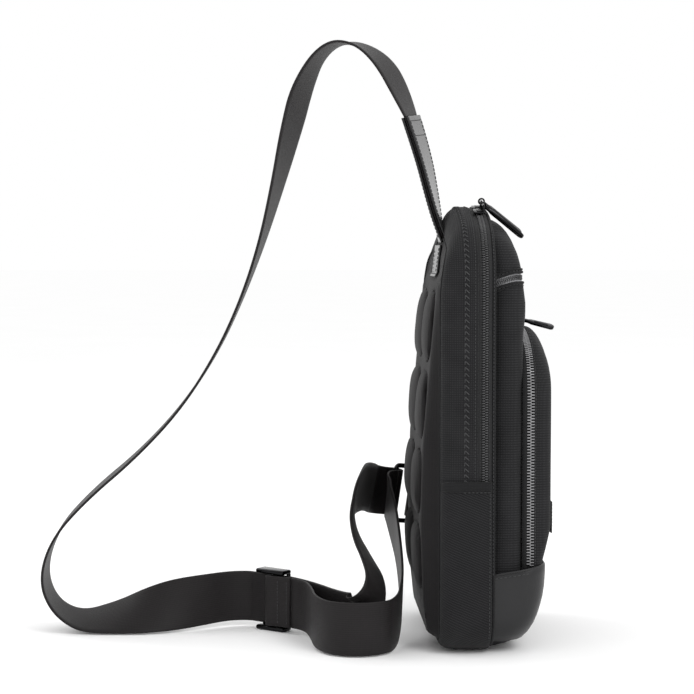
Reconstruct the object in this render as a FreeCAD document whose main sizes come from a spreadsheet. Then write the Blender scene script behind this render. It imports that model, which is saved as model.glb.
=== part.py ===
# Sling bag with a single adjustable shoulder strap.
# Millimetres, +Z up, front faces -Y, origin at the centre of the base, on the surface it stands on.
import FreeCAD, Part
import math
import os
import Sketcher
from FreeCAD import Placement, Rotation, Vector

doc = FreeCAD.newDocument("sling_bag")

# ---------------------------------------------------------------- driving dimensions
SIZES = {
    "half_width": 90.0,       # of the gusset outline
    "crest": 335.0,           # top of the gusset
    "foot": 2.0,              # underside of the shell, above the base panel
    "top_radius": 150.0,
    "corner_radius": 45.0,
    "base_radius": 26.0,
    "wall": 3.0,              # padded fabric wall
    "rear_seam": 22.5,        # Y of the back panel's seam
    "rear_round": 12.0,       # depth of the rounding before that seam
    "rear_inset": 10.0,
    "zip_rear": -5.0,         # Y where the main zip tape starts
    "zip_front": -15.0,
    "zip_end": 60.0,          # height where the main zip stops, under the side pockets
    "coil_width": 3.6,
    "coil_rise": 1.6,
    "binding_front": -18.0,
    "front_inset": 9.0,       # step from the gusset in to the front panel
    "front_side": -26.0,      # Y where the front panel starts to round
    "front_plane": -40.0,
    "front_round_inset": 20.0,
    "slant_low": 262.0,       # above this height the front panel leans back
    "slant_run": 8.0,         # how far back it leans per slant_rise
    "slant_rise": 60.0,
    "upper_zip_low": 278.0,
    "upper_zip_high": 284.0,
    "pocket_half_width": 78.0,
    "pocket_top": 242.0,
    "pocket_radius": 130.0,
    "pocket_corner": 42.0,
    "pocket_zip_rear": -43.0,
    "pocket_zip_front": -48.0,
    "pocket_front": -63.0,
    "pocket_front_inset": 9.0,
    "pocket_wall": 2.5,
    "bumper_top": 60.0,
    "side_pocket_top": 130.0,
    "side_pocket_skin": 1.6,
    "pad_width": 62.0,
    "pad_rise": 5.0,
    "pad_centre": 34.0,
    "webbing_width": 40.0,
    "webbing_thick": 2.0,
    "leather": 1.8,
    "slider_clear": 0.4,
    "bar_radius": 1.75,
    "pull_length": 40.0,
    "short_pull": 27.0,
    "pull_width": 6.0,
    "pull_thick": 1.8,
    "eye_hole": 1.4,
    "eye_radius": 2.8,
    "bail_radius": 1.0,
    "ring_wire": 4.0,
    "ring_gap": 14.0,
    "badge_width": 42.0,
    "badge_height": 24.0,
    "badge_thick": 1.0,
    "badge_x": -42.0,         # the badge sits towards one side of the pocket face
    "badge_centre": 100.0,    # height of the badge's middle
    "stiffener": 2.0,
    "lining": 0.8,
    "divider_inset": 13.3,
    "divider_low": 40.0,
    "divider_height": 190.0,
    "base_board_length": 112.0,
    "base_board_width": 22.0,
    "base_board_low": 16.0,
    "bag_width": 120.0,       # the pocket bag behind the upper zip
    "bag_depth": 5.0,
    "bag_height": 110.0,
    "bag_low": 160.0,
}

sheet = doc.addObject("Spreadsheet::Sheet", "Sizes")
for row, (alias, value) in enumerate(SIZES.items(), start=1):
    sheet.set("A%d" % row, alias)
    sheet.set("B%d" % row, str(value))
    sheet.setAlias("B%d" % row, alias)
doc.recompute()


def size(alias):
    """A driving dimension, read back from the sheet."""
    return float(sheet.get(alias))


subparts = []


def register(obj, label):
    obj.Label = label
    subparts.append(obj)
    return obj


def shape_part(label, shape):
    """A sub-part whose shape is worked out below from the sheet's sizes."""
    obj = doc.addObject("Part::Feature", label)
    obj.Shape = shape
    return register(obj, label)


def bound(obj, **expressions):
    for prop, expression in expressions.items():
        obj.setExpression(prop.replace("__", "."), expression)
    return obj


def box_part(label, **expressions):
    obj = bound(doc.addObject("Part::Box", label), **expressions)
    return register(obj, label)


# ---------------------------------------------------------------- outlines and rings
def arch_wire(y, half_width, crest, foot, top_radius, corner_radius, base_radius):
    """Closed outline in the plane Y = y: arched top, rounded shoulders, straight sides, flat base."""
    reach = top_radius - corner_radius
    shoulder_x = half_width - corner_radius
    top_z = crest - top_radius
    tilt = math.asin(shoulder_x / reach)
    shoulder_z = top_z + reach * math.cos(tilt)
    floor_x = half_width - base_radius

    def at(cx, cz, radius, angle):
        return Vector(cx + radius * math.sin(angle), y, cz + radius * math.cos(angle))

    def arc(cx, cz, radius, start, end):
        points = [at(cx, cz, radius, a) for a in (start, (start + end) / 2, end)]
        return Part.Arc(*points).toShape()

    quarter = math.pi / 2
    edges = [
        arc(0, top_z, top_radius, -tilt, tilt),
        arc(shoulder_x, shoulder_z, corner_radius, tilt, quarter),
        Part.makeLine(Vector(half_width, y, shoulder_z), Vector(half_width, y, foot + base_radius)),
        arc(floor_x, foot + base_radius, base_radius, quarter, 2 * quarter),
        Part.makeLine(Vector(floor_x, y, foot), Vector(-floor_x, y, foot)),
        arc(-floor_x, foot + base_radius, base_radius, 2 * quarter, 3 * quarter),
        Part.makeLine(Vector(-half_width, y, foot + base_radius), Vector(-half_width, y, shoulder_z)),
        arc(-shoulder_x, shoulder_z, corner_radius, -quarter, -tilt),
    ]
    return Part.Wire(edges)


def bag_wire(y, inset):
    return arch_wire(y, size("half_width") - inset, size("crest") - inset, size("foot") + inset,
                     size("top_radius") - inset, size("corner_radius") - inset,
                     size("base_radius") - inset)


POCKET_FOOT = size("bumper_top") - 20.0


def pocket_wire(y, inset):
    """The front pocket's outline; it runs down behind the bumper's top edge."""
    return arch_wire(y, size("pocket_half_width") - inset, size("pocket_top") - inset,
                     POCKET_FOOT + inset, size("pocket_radius") - inset,
                     size("pocket_corner") - inset, size("base_radius") - inset)


def prism(wire, y_end):
    y_start = wire.Vertexes[0].Point.y
    return Part.Face(wire).extrude(Vector(0, y_end - y_start, 0))


def band(outline, y_start, y_end, outer, inner):
    """A straight ring between two insets of one outline."""
    return prism(outline(y_start, outer), y_end).cut(prism(outline(y_start, inner), y_end))


def frustum(outline, y_start, y_end, inset_start, inset_end):
    return Part.makeLoft([outline(y_start, inset_start), outline(y_end, inset_end)], True, True)


BIG = 600.0


def slab(z_low, z_high):
    return Part.makeBox(BIG, BIG, z_high - z_low, Vector(-BIG / 2, -BIG / 2, z_low))


def above(shape, z):
    return shape.common(slab(z, z + BIG))


def below(shape, z):
    return shape.common(slab(z - BIG, z))


# ---------------------------------------------------------------- gusset and main zip
REAR = size("rear_seam")
ROUND_START = REAR - size("rear_round")
ZIP_REAR = size("zip_rear")
ZIP_FRONT = size("zip_front")
ZIP_MID = (ZIP_REAR + ZIP_FRONT) / 2
ZIP_END = size("zip_end")
WALL = size("wall")
TAPE_INSET = 1.0
TAPE_THICK = 1.2


def make_gusset():
    straight = band(bag_wire, ZIP_REAR, ROUND_START, 0, WALL)
    rounded = frustum(bag_wire, ROUND_START, REAR, 0, size("rear_inset"))
    hollow = frustum(bag_wire, ROUND_START, REAR, WALL, size("rear_inset") + WALL)
    shell = straight.fuse(rounded.cut(hollow)).removeSplitter()
    shape_part("gusset", shell.cut(tab_clearance()))


def make_bottom_gusset():
    ring = band(bag_wire, ZIP_FRONT, ZIP_REAR, 0, WALL)
    shape_part("bottom_gusset", below(ring, ZIP_END))


def make_main_zip():
    for side, y_outer in (("rear", ZIP_REAR), ("front", ZIP_FRONT)):
        tape = band(bag_wire, ZIP_MID, y_outer, TAPE_INSET, TAPE_INSET + TAPE_THICK)
        shape_part("main_zip_tape_" + side, above(tape, ZIP_END))
        toward = math.copysign(size("coil_width") / 2, y_outer - ZIP_MID)
        coil = band(bag_wire, ZIP_MID, ZIP_MID + toward, TAPE_INSET - size("coil_rise"), TAPE_INSET)
        shape_part("main_zip_coil_" + side, above(coil, ZIP_END))


def make_binding():
    step = size("front_inset") + WALL
    shape_part("front_binding", band(bag_wire, size("binding_front"), ZIP_FRONT, 1.5, step))


# ---------------------------------------------------------------- front panel
def slant_cutter(offset):
    """Everything in front of the leaning upper part of the front panel, moved back by offset."""
    low = size("slant_low")
    lean = size("slant_run") / size("slant_rise")
    face_y = size("front_plane") + offset
    height = 200.0
    points = [Vector(-BIG / 2, face_y, low), Vector(-BIG / 2, face_y + lean * height, low + height),
              Vector(-BIG / 2, face_y - BIG, low + height), Vector(-BIG / 2, face_y - BIG, low)]
    return Part.Face(Part.makePolygon(points + points[:1])).extrude(Vector(BIG, 0, 0))


def front_solid(offset):
    """The front body as a filled solid, offset inwards."""
    seam = size("binding_front")
    side = size("front_side")
    inset = size("front_inset") + offset
    block = prism(bag_wire(seam, inset), side)
    nose = frustum(bag_wire, side, size("front_plane") + offset, inset,
                   size("front_round_inset") + offset)
    return block.fuse(nose).removeSplitter().cut(slant_cutter(offset))


BUMPER_PROFILE = [  # (Y, Z) of the leather base's outer face, from its top edge to the base
    (-40.0, 60.0), (-44.0, 61.0), (-57.0, 66.0), (-56.8, 50.0), (-55.0, 36.0),
    (-51.0, 23.0), (-43.0, 8.0), (-34.0, 4.0), (-18.0, 3.0), (-18.0, 60.0),
]


def bumper_block():
    points = [Vector(-BIG / 2, y, z) for y, z in BUMPER_PROFILE]
    profile = Part.Face(Part.makePolygon(points + points[:1]))
    return profile.extrude(Vector(BIG, 0, 0)).common(prism(bag_wire(-18.0, 4.0), -70.0))


def make_front_panel():
    outer = front_solid(0)
    shell = outer.cut(front_solid(WALL))
    low = size("upper_zip_low")
    high = size("upper_zip_high")
    shape_part("front_panel_upper", above(shell, high))
    shape_part("front_panel_lower", below(shell, low))
    tape = front_solid(TAPE_INSET).cut(front_solid(TAPE_INSET + TAPE_THICK))
    shape_part("upper_zip_tape", above(below(tape, high), low))
    coil = outer.cut(front_solid(TAPE_INSET))
    middle = (low + high) / 2
    rows = above(below(coil, middle + size("coil_width") / 2), middle - size("coil_width") / 2)
    shape_part("upper_zip_coil", rows)
    return outer


def make_bumper(front_body):
    shape_part("base_bumper", bumper_block().cut(front_body))


# ---------------------------------------------------------------- front pocket
def make_front_pocket():
    rear = size("front_plane")
    zip_rear = size("pocket_zip_rear")
    zip_front = size("pocket_zip_front")
    face = size("pocket_front")
    wall = size("pocket_wall")
    bumper = bumper_block()
    floor_z = size("bumper_top") + 1.0
    shape_part("front_pocket_gusset", above(band(pocket_wire, zip_rear, rear, 0, wall), floor_z)
               .cut(bumper))
    tape = band(pocket_wire, zip_front, zip_rear, 1.5, wall)
    shape_part("front_pocket_zip_tape", above(tape, floor_z).cut(bumper))
    teeth = band(pocket_wire, zip_front + 1.0, zip_rear - 1.0, -0.5, 1.5)
    shape_part("front_pocket_zip_teeth", above(teeth, size("bumper_top") + 8.0).cut(bumper))
    outer = frustum(pocket_wire, zip_front, face, 0, size("pocket_front_inset"))
    inner = frustum(pocket_wire, zip_front, face + wall, wall, size("pocket_front_inset") + wall)
    shape_part("front_pocket_face", above(outer.cut(inner), floor_z).cut(bumper))


def make_badge():
    """A blank raised label patch on the pocket face, padded from a sketch."""
    body = doc.addObject("PartDesign::Body", "front_pocket_badge")
    plane = [f for f in body.Origin.OriginFeatures if f.Role == "XZ_Plane"][0]
    sketch = body.newObject("Sketcher::SketchObject", "badge_outline")
    sketch.AttachmentSupport = [(plane, "")]
    sketch.MapMode = "FlatFace"
    half_w = size("badge_width") / 2
    half_h = size("badge_height") / 2
    corners = [(-half_w, -half_h), (half_w, -half_h), (half_w, half_h), (-half_w, half_h)]
    for (x0, y0), (x1, y1) in zip(corners, corners[1:] + corners[:1]):
        sketch.addGeometry(Part.LineSegment(Vector(x0, y0, 0), Vector(x1, y1, 0)), False)
    for i in range(4):
        sketch.addConstraint(Sketcher.Constraint("Coincident", i, 2, (i + 1) % 4, 1))
    sketch.addConstraint(Sketcher.Constraint("Horizontal", 0))
    sketch.addConstraint(Sketcher.Constraint("Vertical", 1))
    sketch.addConstraint(Sketcher.Constraint("Horizontal", 2))
    sketch.addConstraint(Sketcher.Constraint("Vertical", 3))
    width = sketch.addConstraint(Sketcher.Constraint("DistanceX", 0, 1, 0, 2, 2 * half_w))
    height = sketch.addConstraint(Sketcher.Constraint("DistanceY", 1, 1, 1, 2, 2 * half_h))
    sketch.addConstraint(Sketcher.Constraint("Symmetric", 0, 1, 2, 1, -1, 1))
    sketch.setExpression("Constraints[%d]" % width, "Sizes.badge_width")
    sketch.setExpression("Constraints[%d]" % height, "Sizes.badge_height")
    pad = body.newObject("PartDesign::Pad", "badge_pad")
    pad.Profile = sketch
    pad.setExpression("Length", "Sizes.badge_thick")
    pad.Reversed = False
    body.Placement = Placement(Vector(size("badge_x"), size("pocket_front"), size("badge_centre")),
                               Rotation())
    register(body, "front_pocket_badge")


# ---------------------------------------------------------------- sides and base
def make_side_pockets():
    skin = size("side_pocket_skin")
    ring = band(bag_wire, size("binding_front") + 3.0, ROUND_START, -skin - 0.8, -0.8)
    ring = above(below(ring, size("side_pocket_top")), 14.0)
    for label, x_low in (("side_pocket_left", 0.0), ("side_pocket_right", -BIG)):
        half = Part.makeBox(BIG, BIG, BIG, Vector(x_low, -BIG / 2, -BIG / 2))
        shape_part(label, ring.common(half))


def make_base_panel():
    box_part("base_panel", Length="2 * (Sizes.half_width - Sizes.base_radius) - 4",
             Width="Sizes.rear_seam - Sizes.zip_front - 12",
             Height="Sizes.foot",
             Placement__Base__x="-(Sizes.half_width - Sizes.base_radius) + 2",
             Placement__Base__y="Sizes.zip_front", Placement__Base__z="0")


# ---------------------------------------------------------------- back panel and pads
BACK_PROFILE = [  # (Y, Z) of the back panel's padded face, one flat facet per pad row
    (24.0, 274.0), (29.5, 213.0), (34.5, 154.0), (36.0, 97.0), (34.0, 40.0), (31.0, 15.0),
]


def make_back_panel():
    inset = size("rear_inset")
    seam = REAR
    panel_inset = 20.0
    points = [Vector(-BIG / 2, seam, 284.0)]
    points += [Vector(-BIG / 2, y, z) for y, z in BACK_PROFILE]
    points += [Vector(-BIG / 2, seam, 14.0)]
    profile = Part.Face(Part.makePolygon(points + points[:1])).extrude(Vector(BIG, 0, 0))
    shape_part("back_panel", profile.common(prism(bag_wire(seam, panel_inset), seam + 40.0)))
    inner = prism(bag_wire(seam - WALL, inset + WALL), seam)
    shape_part("back_inner_panel", inner.cut(tab_clearance()))


def make_back_pads():
    """Two columns of four domed pads, each on its own flat facet of the back panel."""
    margin = 3.5
    rise = size("pad_rise")
    half_w = size("pad_width") / 2
    for row in range(4):
        y_top, z_top = BACK_PROFILE[row]
        y_low, z_low = BACK_PROFILE[row + 1]
        length = math.hypot(y_low - y_top, z_top - z_low)
        down = Vector(0, (y_low - y_top) / length, (z_low - z_top) / length)
        out = Vector(0, -down.z, down.y)
        half_l = length / 2 - margin
        middle = Vector(0, (y_top + y_low) / 2, (z_top + z_low) / 2)
        for column, sign in (("left", 1), ("right", -1)):
            centre = middle + Vector(sign * size("pad_centre"), 0, 0)
            rings = [(1.0, 0.0), (0.94, 0.55), (0.72, 1.0)]
            wires = []
            for scale, lift in rings:
                across = Vector(half_w * scale, 0, 0)
                along = down * (half_l * scale)
                cut = 0.72
                base = centre + out * (rise * lift)
                corners = [base - across * cut - along, base + across * cut - along, base + across,
                           base + across * cut + along, base - across * cut + along, base - across]
                wires.append(Part.makePolygon(corners + corners[:1]))
            shape_part("back_pad_%d_%s" % (row + 1, column), Part.makeLoft(wires, True, True))


def make_yoke():
    """The leather patch above the back panel, under the strap tab."""
    half = size("webbing_width") / 2 + 2
    height = 11.0
    shape_part("back_yoke", Part.makeBox(2 * half, size("leather"), height, Vector(-half, REAR, 285.0)))


# ---------------------------------------------------------------- inside
def make_inside():
    gap = 0.2
    liner = size("lining")
    inset = size("front_inset") + WALL + gap
    lining = band(bag_wire, size("binding_front"), REAR - WALL - 4.0, inset, inset + liner)
    shape_part("main_lining", lining)
    thick = size("stiffener")
    plate_inset = inset + liner + gap
    board_face = REAR - WALL - 1.2
    plate = prism(bag_wire(board_face, plate_inset), board_face - thick)
    shape_part("back_stiffener", plate.cut(tab_clearance()))
    box_part("tablet_divider", Length="2 * (Sizes.half_width - Sizes.divider_inset)",
             Width="Sizes.stiffener", Height="Sizes.divider_height",
             Placement__Base__x="-(Sizes.half_width - Sizes.divider_inset)",
             Placement__Base__y="8", Placement__Base__z="Sizes.divider_low")
    box_part("base_stiffener", Length="Sizes.base_board_length", Width="Sizes.base_board_width",
             Height="Sizes.stiffener", Placement__Base__x="-Sizes.base_board_length / 2",
             Placement__Base__y="-16", Placement__Base__z="Sizes.base_board_low")
    corner = Vector(-size("bag_width") / 2, -32.5, size("bag_low"))
    bag = Part.makeBox(size("bag_width"), size("bag_depth"), size("bag_height"), corner)
    hollow = Part.makeBox(size("bag_width") - 2 * liner, size("bag_depth") - 2 * liner,
                          size("bag_height"), corner + Vector(liner, liner, liner))
    shape_part("upper_pocket_bag", bag.cut(hollow))
    lining_depth = size("pocket_front") + size("pocket_wall") + 0.4
    pocket_inset = size("pocket_front_inset") + size("pocket_wall") + 0.4
    pocket_block = prism(pocket_wire(size("front_plane") - 0.4, pocket_inset), lining_depth)
    pocket_inner = prism(pocket_wire(size("front_plane") - 0.4, pocket_inset + liner), lining_depth)
    floor_z = size("bumper_top") + 9.0
    shape_part("front_pocket_lining", above(pocket_block.cut(pocket_inner), floor_z))


# ---------------------------------------------------------------- flat webbing
def spline(points):
    """Degree 2, clamped, uniform: a smooth line inside its control points."""
    count = len(points)
    spans = count - 2
    curve = Part.BSplineCurve()
    curve.buildFromPolesMultsKnots(points, [3] + [1] * (spans - 1) + [3],
                                   list(range(spans + 1)), False, 2)
    return curve


def ribbon(route, width, low, high, samples):
    """Flat band along a route of (point, direction of its width), from low to high off its plane."""
    points = [Vector(*p) for p, _ in route]
    wides = [Vector(*w).normalize() for _, w in route]
    centre = spline(points)
    wide_tip = spline([p + w * 10 for p, w in zip(points, wides)])
    rings = []
    last = centre.LastParameter
    for i in range(samples + 1):
        t = last * i / samples
        middle = centre.value(t)
        tangent = Vector(*centre.tangent(t)[0]).normalize()
        wide = (wide_tip.value(t) - middle)
        wide = (wide - tangent * wide.dot(tangent)).normalize()
        normal = tangent.cross(wide)
        half = width / 2
        rings.append([middle + wide * (s * half) + normal * n
                      for s, n in ((-1, low), (1, low), (1, high), (-1, high))])
    return faceted(rings)


def faceted(rings):
    """A closed solid of flat triangles through a row of four-cornered rings."""
    faces = [Part.Face(Part.makePolygon(ring + ring[:1])) for ring in (rings[0], rings[-1])]
    for a, b in zip(rings, rings[1:]):
        for i in range(4):
            j = (i + 1) % 4
            # both broad faces are split along the same diagonal, so the band keeps its thickness
            if i == 2:
                split = ((a[i], a[j], b[i]), (a[j], b[j], b[i]))
            else:
                split = ((a[i], a[j], b[j]), (a[i], b[j], b[i]))
            for tri in split:
                faces.append(Part.Face(Part.makePolygon(list(tri) + [tri[0]])))
    solid = Part.makeSolid(Part.makeShell(faces))
    if solid.Volume < 0:
        solid.reverse()
    return solid


def tab_clearance():
    """The space the strap tab presses into at the top of the back."""
    reach = size("webbing_thick") / 2 + size("leather") + 0.3
    return ribbon(TAB, size("webbing_width") + 4.4, -reach, reach, 12)


def route_length(route):
    return spline([Vector(*p) for p, _ in route]).length()


# The tab leaves the top of the back and rises, leaning back.
TAB = [
    ((0, 22.6, 297), (1, 0, 0)),
    ((0, 21.5, 322), (1, -0.03, 0)),
    ((0, 23, 352), (0.98, -0.15, 0.08)),
    ((0, 29, 380), (0.96, -0.24, 0.10)),
    ((0, 39, 405), (0.95, -0.29, 0.08)),
]

# The slider lies on the ground behind the bag; the adjustable strand runs straight through it.
SLIDER_AT = Vector(14, 146, 24.5)
SLIDER_DIR = Vector(-0.62, -0.785, 0).normalize()
SLIDER_OUT = Vector(SLIDER_DIR.y, -SLIDER_DIR.x, 0)
UP = Vector(0, 0, 1)
BAR_OFFSET = size("webbing_thick") / 2 + size("slider_clear") + size("bar_radius")
LOOP_OFFSET = BAR_OFFSET + size("webbing_thick") + 0.1
LOOP_TAIL = 22.0


def beside_slider(distance, off=0.0):
    p = SLIDER_AT + SLIDER_DIR * distance + SLIDER_OUT * off
    return (p.x, p.y, p.z)


# The ring hangs from the rear seam on the +X side; its strap bar is parallel to RING_BAR.
RING_PULL = Vector(0.38, -0.917, -0.12).normalize()
RING_LEAN = Vector(-0.05, -0.10, 0.98)
RING_BAR = (RING_LEAN - RING_PULL * RING_LEAN.dot(RING_PULL)).normalize()
RING_NORMAL = RING_BAR.cross(RING_PULL)
RING_SEAM = Vector(88.0, 17.0, 97.0)
RING_TAB_REACH = 16.0
RING_SPAN = size("ring_gap") + size("ring_wire")
TAB_BAR_AT = RING_SEAM - RING_PULL * RING_TAB_REACH
STRAP_BAR_AT = TAB_BAR_AT - RING_PULL * RING_SPAN
WRAP_SLACK = 2.8
WRAP_RADIUS = size("ring_wire") / 2 + WRAP_SLACK + size("webbing_thick") / 2
WRAP_AT = STRAP_BAR_AT - RING_PULL * 0.8


def beside_ring(distance, side):
    """A point on the strap where it leaves the ring, on one side of the bar."""
    p = WRAP_AT - RING_PULL * distance + RING_NORMAL * (side * WRAP_RADIUS)
    return (p.x, p.y, p.z)


UPRIGHT = (0, 0, 1)
UPSIDE_DOWN = (0, 0, -1)
ALONG_BAR = (RING_BAR.x, RING_BAR.y, RING_BAR.z)
AGAINST_BAR = (-RING_BAR.x, -RING_BAR.y, -RING_BAR.z)

# The adjustable strand: tab, over the top, down behind, along the ground, through the slider, ring.
LONG_STRAND = [
    ((0, 39, 405), (0.95, -0.29, 0.08)),
    ((0, 46.2, 423), (0.90, -0.40, 0.12)),
    ((0, 60, 448), (0.90, -0.38, 0.20)),
    ((-2, 84, 463), (0.98, -0.10, 0.15)),
    ((-4, 107, 457), (0.98, -0.17, -0.08)),
    ((-7, 123, 428), (0.86, -0.46, 0.20)),
    ((-11, 133, 391), (0.86, -0.42, 0.28)),
    ((-15, 143, 350), (0.96, -0.25, 0.10)),
    ((-19, 155, 306), (0.99, -0.10, 0.02)),
    ((-20, 170, 264), (1, -0.03, 0.02)),
    ((-17, 189, 223), (0.99, -0.04, 0.05)),
    ((-11, 216, 181), (0.99, -0.05, 0.08)),
    ((-4, 251, 143), (0.99, -0.06, 0.08)),
    ((3, 290, 110), (0.99, -0.05, 0.10)),
    ((9, 318, 79), (0.99, -0.04, 0.10)),
    ((14, 329, 46), (0.99, -0.02, 0.10)),
    ((18, 321, 20), (0.98, 0.03, 0.12)),
    ((19, 301, 7), (0.96, 0.05, 0.20)),
    ((14, 272, 11), (0.86, 0.05, 0.42)),
    ((9, 246, 17), (0.62, 0.05, 0.76)),
    ((11, 222, 21.5), (0.30, 0.02, 0.95)),
    ((19, 201, 23.5), (0.08, 0, 1)),
    ((29, 182, 24.5), UPRIGHT),
    (beside_slider(-26), UPRIGHT),
    (beside_slider(-18), UPRIGHT),
    (beside_slider(0), UPRIGHT),
    (beside_slider(18), UPRIGHT),
    ((-18, 114, 23.5), UPRIGHT),
    ((-41, 99, 22), UPRIGHT),
    ((-60, 86, 22.5), (-0.05, 0, 1)),
    ((-73, 76, 29), (-0.25, 0.25, 0.93)),
    ((-71, 69, 43), (-0.45, 0.30, 0.84)),
    ((-54, 70, 59), (-0.60, 0.50, 0.60)),
    ((-36, 78, 73), (-0.82, 0.33, 0.42)),
    ((-22, 84, 89), (-0.90, 0.15, 0.38)),
    ((-8, 84, 104), (-0.72, -0.05, 0.68)),
    ((14, 79, 111), (-0.36, -0.15, 0.92)),
    ((38, 74, 111), (-0.10, -0.12, 1)),
    ((58, 68, 108), (-0.10, -0.16, 0.98)),
    (beside_ring(13, 1), (-0.07, -0.13, 0.98)),
    (beside_ring(0, 1), ALONG_BAR),
]

# The fixed strand: from the ring down, forward round the near loop, and back to the slider.
SHORT_STRAND = [
    (beside_ring(0, -1), AGAINST_BAR),
    (beside_ring(7, -1), AGAINST_BAR),
    ((58, 53, 96), (0.25, 0, -0.97)),
    ((40, 50, 84), (0.50, 0.05, -0.86)),
    ((18, 47.5, 68), (0.55, 0, -0.84)),
    ((-6, 46.5, 50), (0.60, 0, -0.80)),
    ((-28, 47, 36), (0.50, 0, -0.86)),
    ((-48, 50, 26), (0.35, 0, -0.94)),
    ((-66, 54, 21.5), (0.10, 0, -1)),
    ((-84, 62, 21), UPSIDE_DOWN),
    ((-91, 86, 21), UPSIDE_DOWN),
    ((-83, 105, 21), UPSIDE_DOWN),
    ((-62, 115, 21.5), UPSIDE_DOWN),
    ((-36, 117, 23), UPSIDE_DOWN),
    (beside_slider(LOOP_TAIL + 13, LOOP_OFFSET), UPSIDE_DOWN),
    (beside_slider(LOOP_TAIL + 0.4, LOOP_OFFSET), UPSIDE_DOWN),
]


def make_strap():
    width = size("webbing_width")
    half = size("webbing_thick") / 2
    leather = size("leather")
    shape_part("strap_tab_webbing", ribbon(TAB, width, -half, half, 12))
    inner = half + 0.1
    shape_part("strap_tab_front", ribbon(TAB, width + 4, inner, inner + leather, 12))
    shape_part("strap_tab_back", ribbon(TAB, width + 4, -inner - leather, -inner, 12))
    for label, route, samples in (("strap_webbing_long", LONG_STRAND, 96),
                                  ("strap_webbing_short", SHORT_STRAND, 72)):
        shape = ribbon(route, width, -half, half, samples)
        shape_part(label, shape)
        box = shape.BoundBox
        print("%s length %.0f volume %.0f lowest %.1f" % (
            label, route_length(route), shape.Volume, box.ZMin))


# ---------------------------------------------------------------- slider and ring hardware
def rod(centre, direction, length, radius):
    start = centre - direction * (length / 2)
    return Part.makeCylinder(radius, length, start, direction)


def tube(centre, direction, length, outer, inner):
    return rod(centre, direction, length, outer).cut(rod(centre, direction, length + 2, inner))


def local_box(centre, along, across, normal, length, width, height):
    """A box centred on a point, with its length, width and height on three given directions."""
    block = Part.makeBox(length, width, height, Vector(-length / 2, -width / 2, -height / 2))
    frame = FreeCAD.Matrix(along.x, across.x, normal.x, centre.x,
                           along.y, across.y, normal.y, centre.y,
                           along.z, across.z, normal.z, centre.z, 0, 0, 0, 1)
    return block.transformed(frame)


def make_slider():
    width = size("webbing_width")
    bar = size("bar_radius")
    half_frame = width / 2 + 0.8
    rail = 3.5
    reach = 12.0
    low = -BAR_OFFSET - bar
    high = LOOP_OFFSET + bar
    middle = (low + high) / 2
    pieces = []
    for sign in (-1, 1):
        centre = SLIDER_AT + UP * (sign * (half_frame + rail / 2)) + SLIDER_OUT * middle
        pieces.append(local_box(centre, SLIDER_DIR, UP, SLIDER_DIR.cross(UP),
                                2 * reach + 2 * bar, rail, high - low))
        outer = SLIDER_AT + SLIDER_DIR * (sign * reach) - SLIDER_OUT * BAR_OFFSET
        pieces.append(rod(outer, UP, 2 * half_frame + 1, bar))
    shape_part("slider_frame", pieces[0].multiFuse(pieces[1:]))
    bar_at = SLIDER_AT + SLIDER_OUT * LOOP_OFFSET
    shape_part("slider_bar", rod(bar_at, UP, 2 * half_frame, bar))
    loop_outer = bar + size("webbing_thick")
    eye = tube(bar_at, UP, width, loop_outer, bar + 0.05)
    tail_start = bar
    tail = local_box(bar_at + SLIDER_DIR * ((tail_start + LOOP_TAIL) / 2), SLIDER_DIR, UP,
                     SLIDER_DIR.cross(UP), LOOP_TAIL - tail_start, width, 2 * size("webbing_thick"))
    tail = tail.cut(rod(bar_at, UP, width + 2, bar + 0.05))
    shape_part("strap_end_loop", eye.fuse(tail))


def make_ring():
    wire = size("ring_wire") / 2
    inner_length = size("webbing_width") + 2.0
    length = inner_length + 2 * wire
    pieces = [rod(STRAP_BAR_AT, RING_BAR, length, wire), rod(TAB_BAR_AT, RING_BAR, length, wire)]
    middle = (STRAP_BAR_AT + TAB_BAR_AT) * 0.5
    for sign in (-1, 1):
        corner = RING_BAR * (sign * length / 2)
        pieces.append(rod(middle + corner, RING_PULL, RING_SPAN, wire))
        for end in (STRAP_BAR_AT, TAB_BAR_AT):
            pieces.append(Part.makeSphere(wire, end + corner))
    shape_part("ring", pieces[0].multiFuse(pieces[1:]))
    width = size("webbing_width")
    thick = size("webbing_thick")
    wrap = tube(WRAP_AT, RING_BAR, width, WRAP_RADIUS + thick / 2, WRAP_RADIUS - thick / 2)
    keep = local_box(WRAP_AT + RING_PULL * 10, RING_PULL, RING_BAR, RING_NORMAL, 20, width + 4, 20)
    shape_part("strap_ring_wrap", wrap.common(keep))
    inner = wire + 0.05
    loop = tube(TAB_BAR_AT, RING_BAR, width - 2, inner + thick, inner)
    tail_length = RING_TAB_REACH - 2.5
    legs = local_box(TAB_BAR_AT + RING_PULL * (tail_length / 2), RING_PULL, RING_BAR, RING_NORMAL,
                     tail_length, width - 2, 2 * (inner + thick))
    slot = local_box(TAB_BAR_AT + RING_PULL * (tail_length / 2), RING_PULL, RING_BAR, RING_NORMAL,
                     tail_length + 2, width, 2 * inner)
    shell = prism(bag_wire(ROUND_START - 40, 0), ROUND_START)
    shell = shell.fuse(frustum(bag_wire, ROUND_START, REAR, 0, size("rear_inset")))
    shape_part("ring_tab", loop.common(local_box(TAB_BAR_AT - RING_PULL * 10, RING_PULL, RING_BAR,
                                                 RING_NORMAL, 20, width, 20))
               .fuse(legs.cut(slot)).cut(shell))


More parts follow.
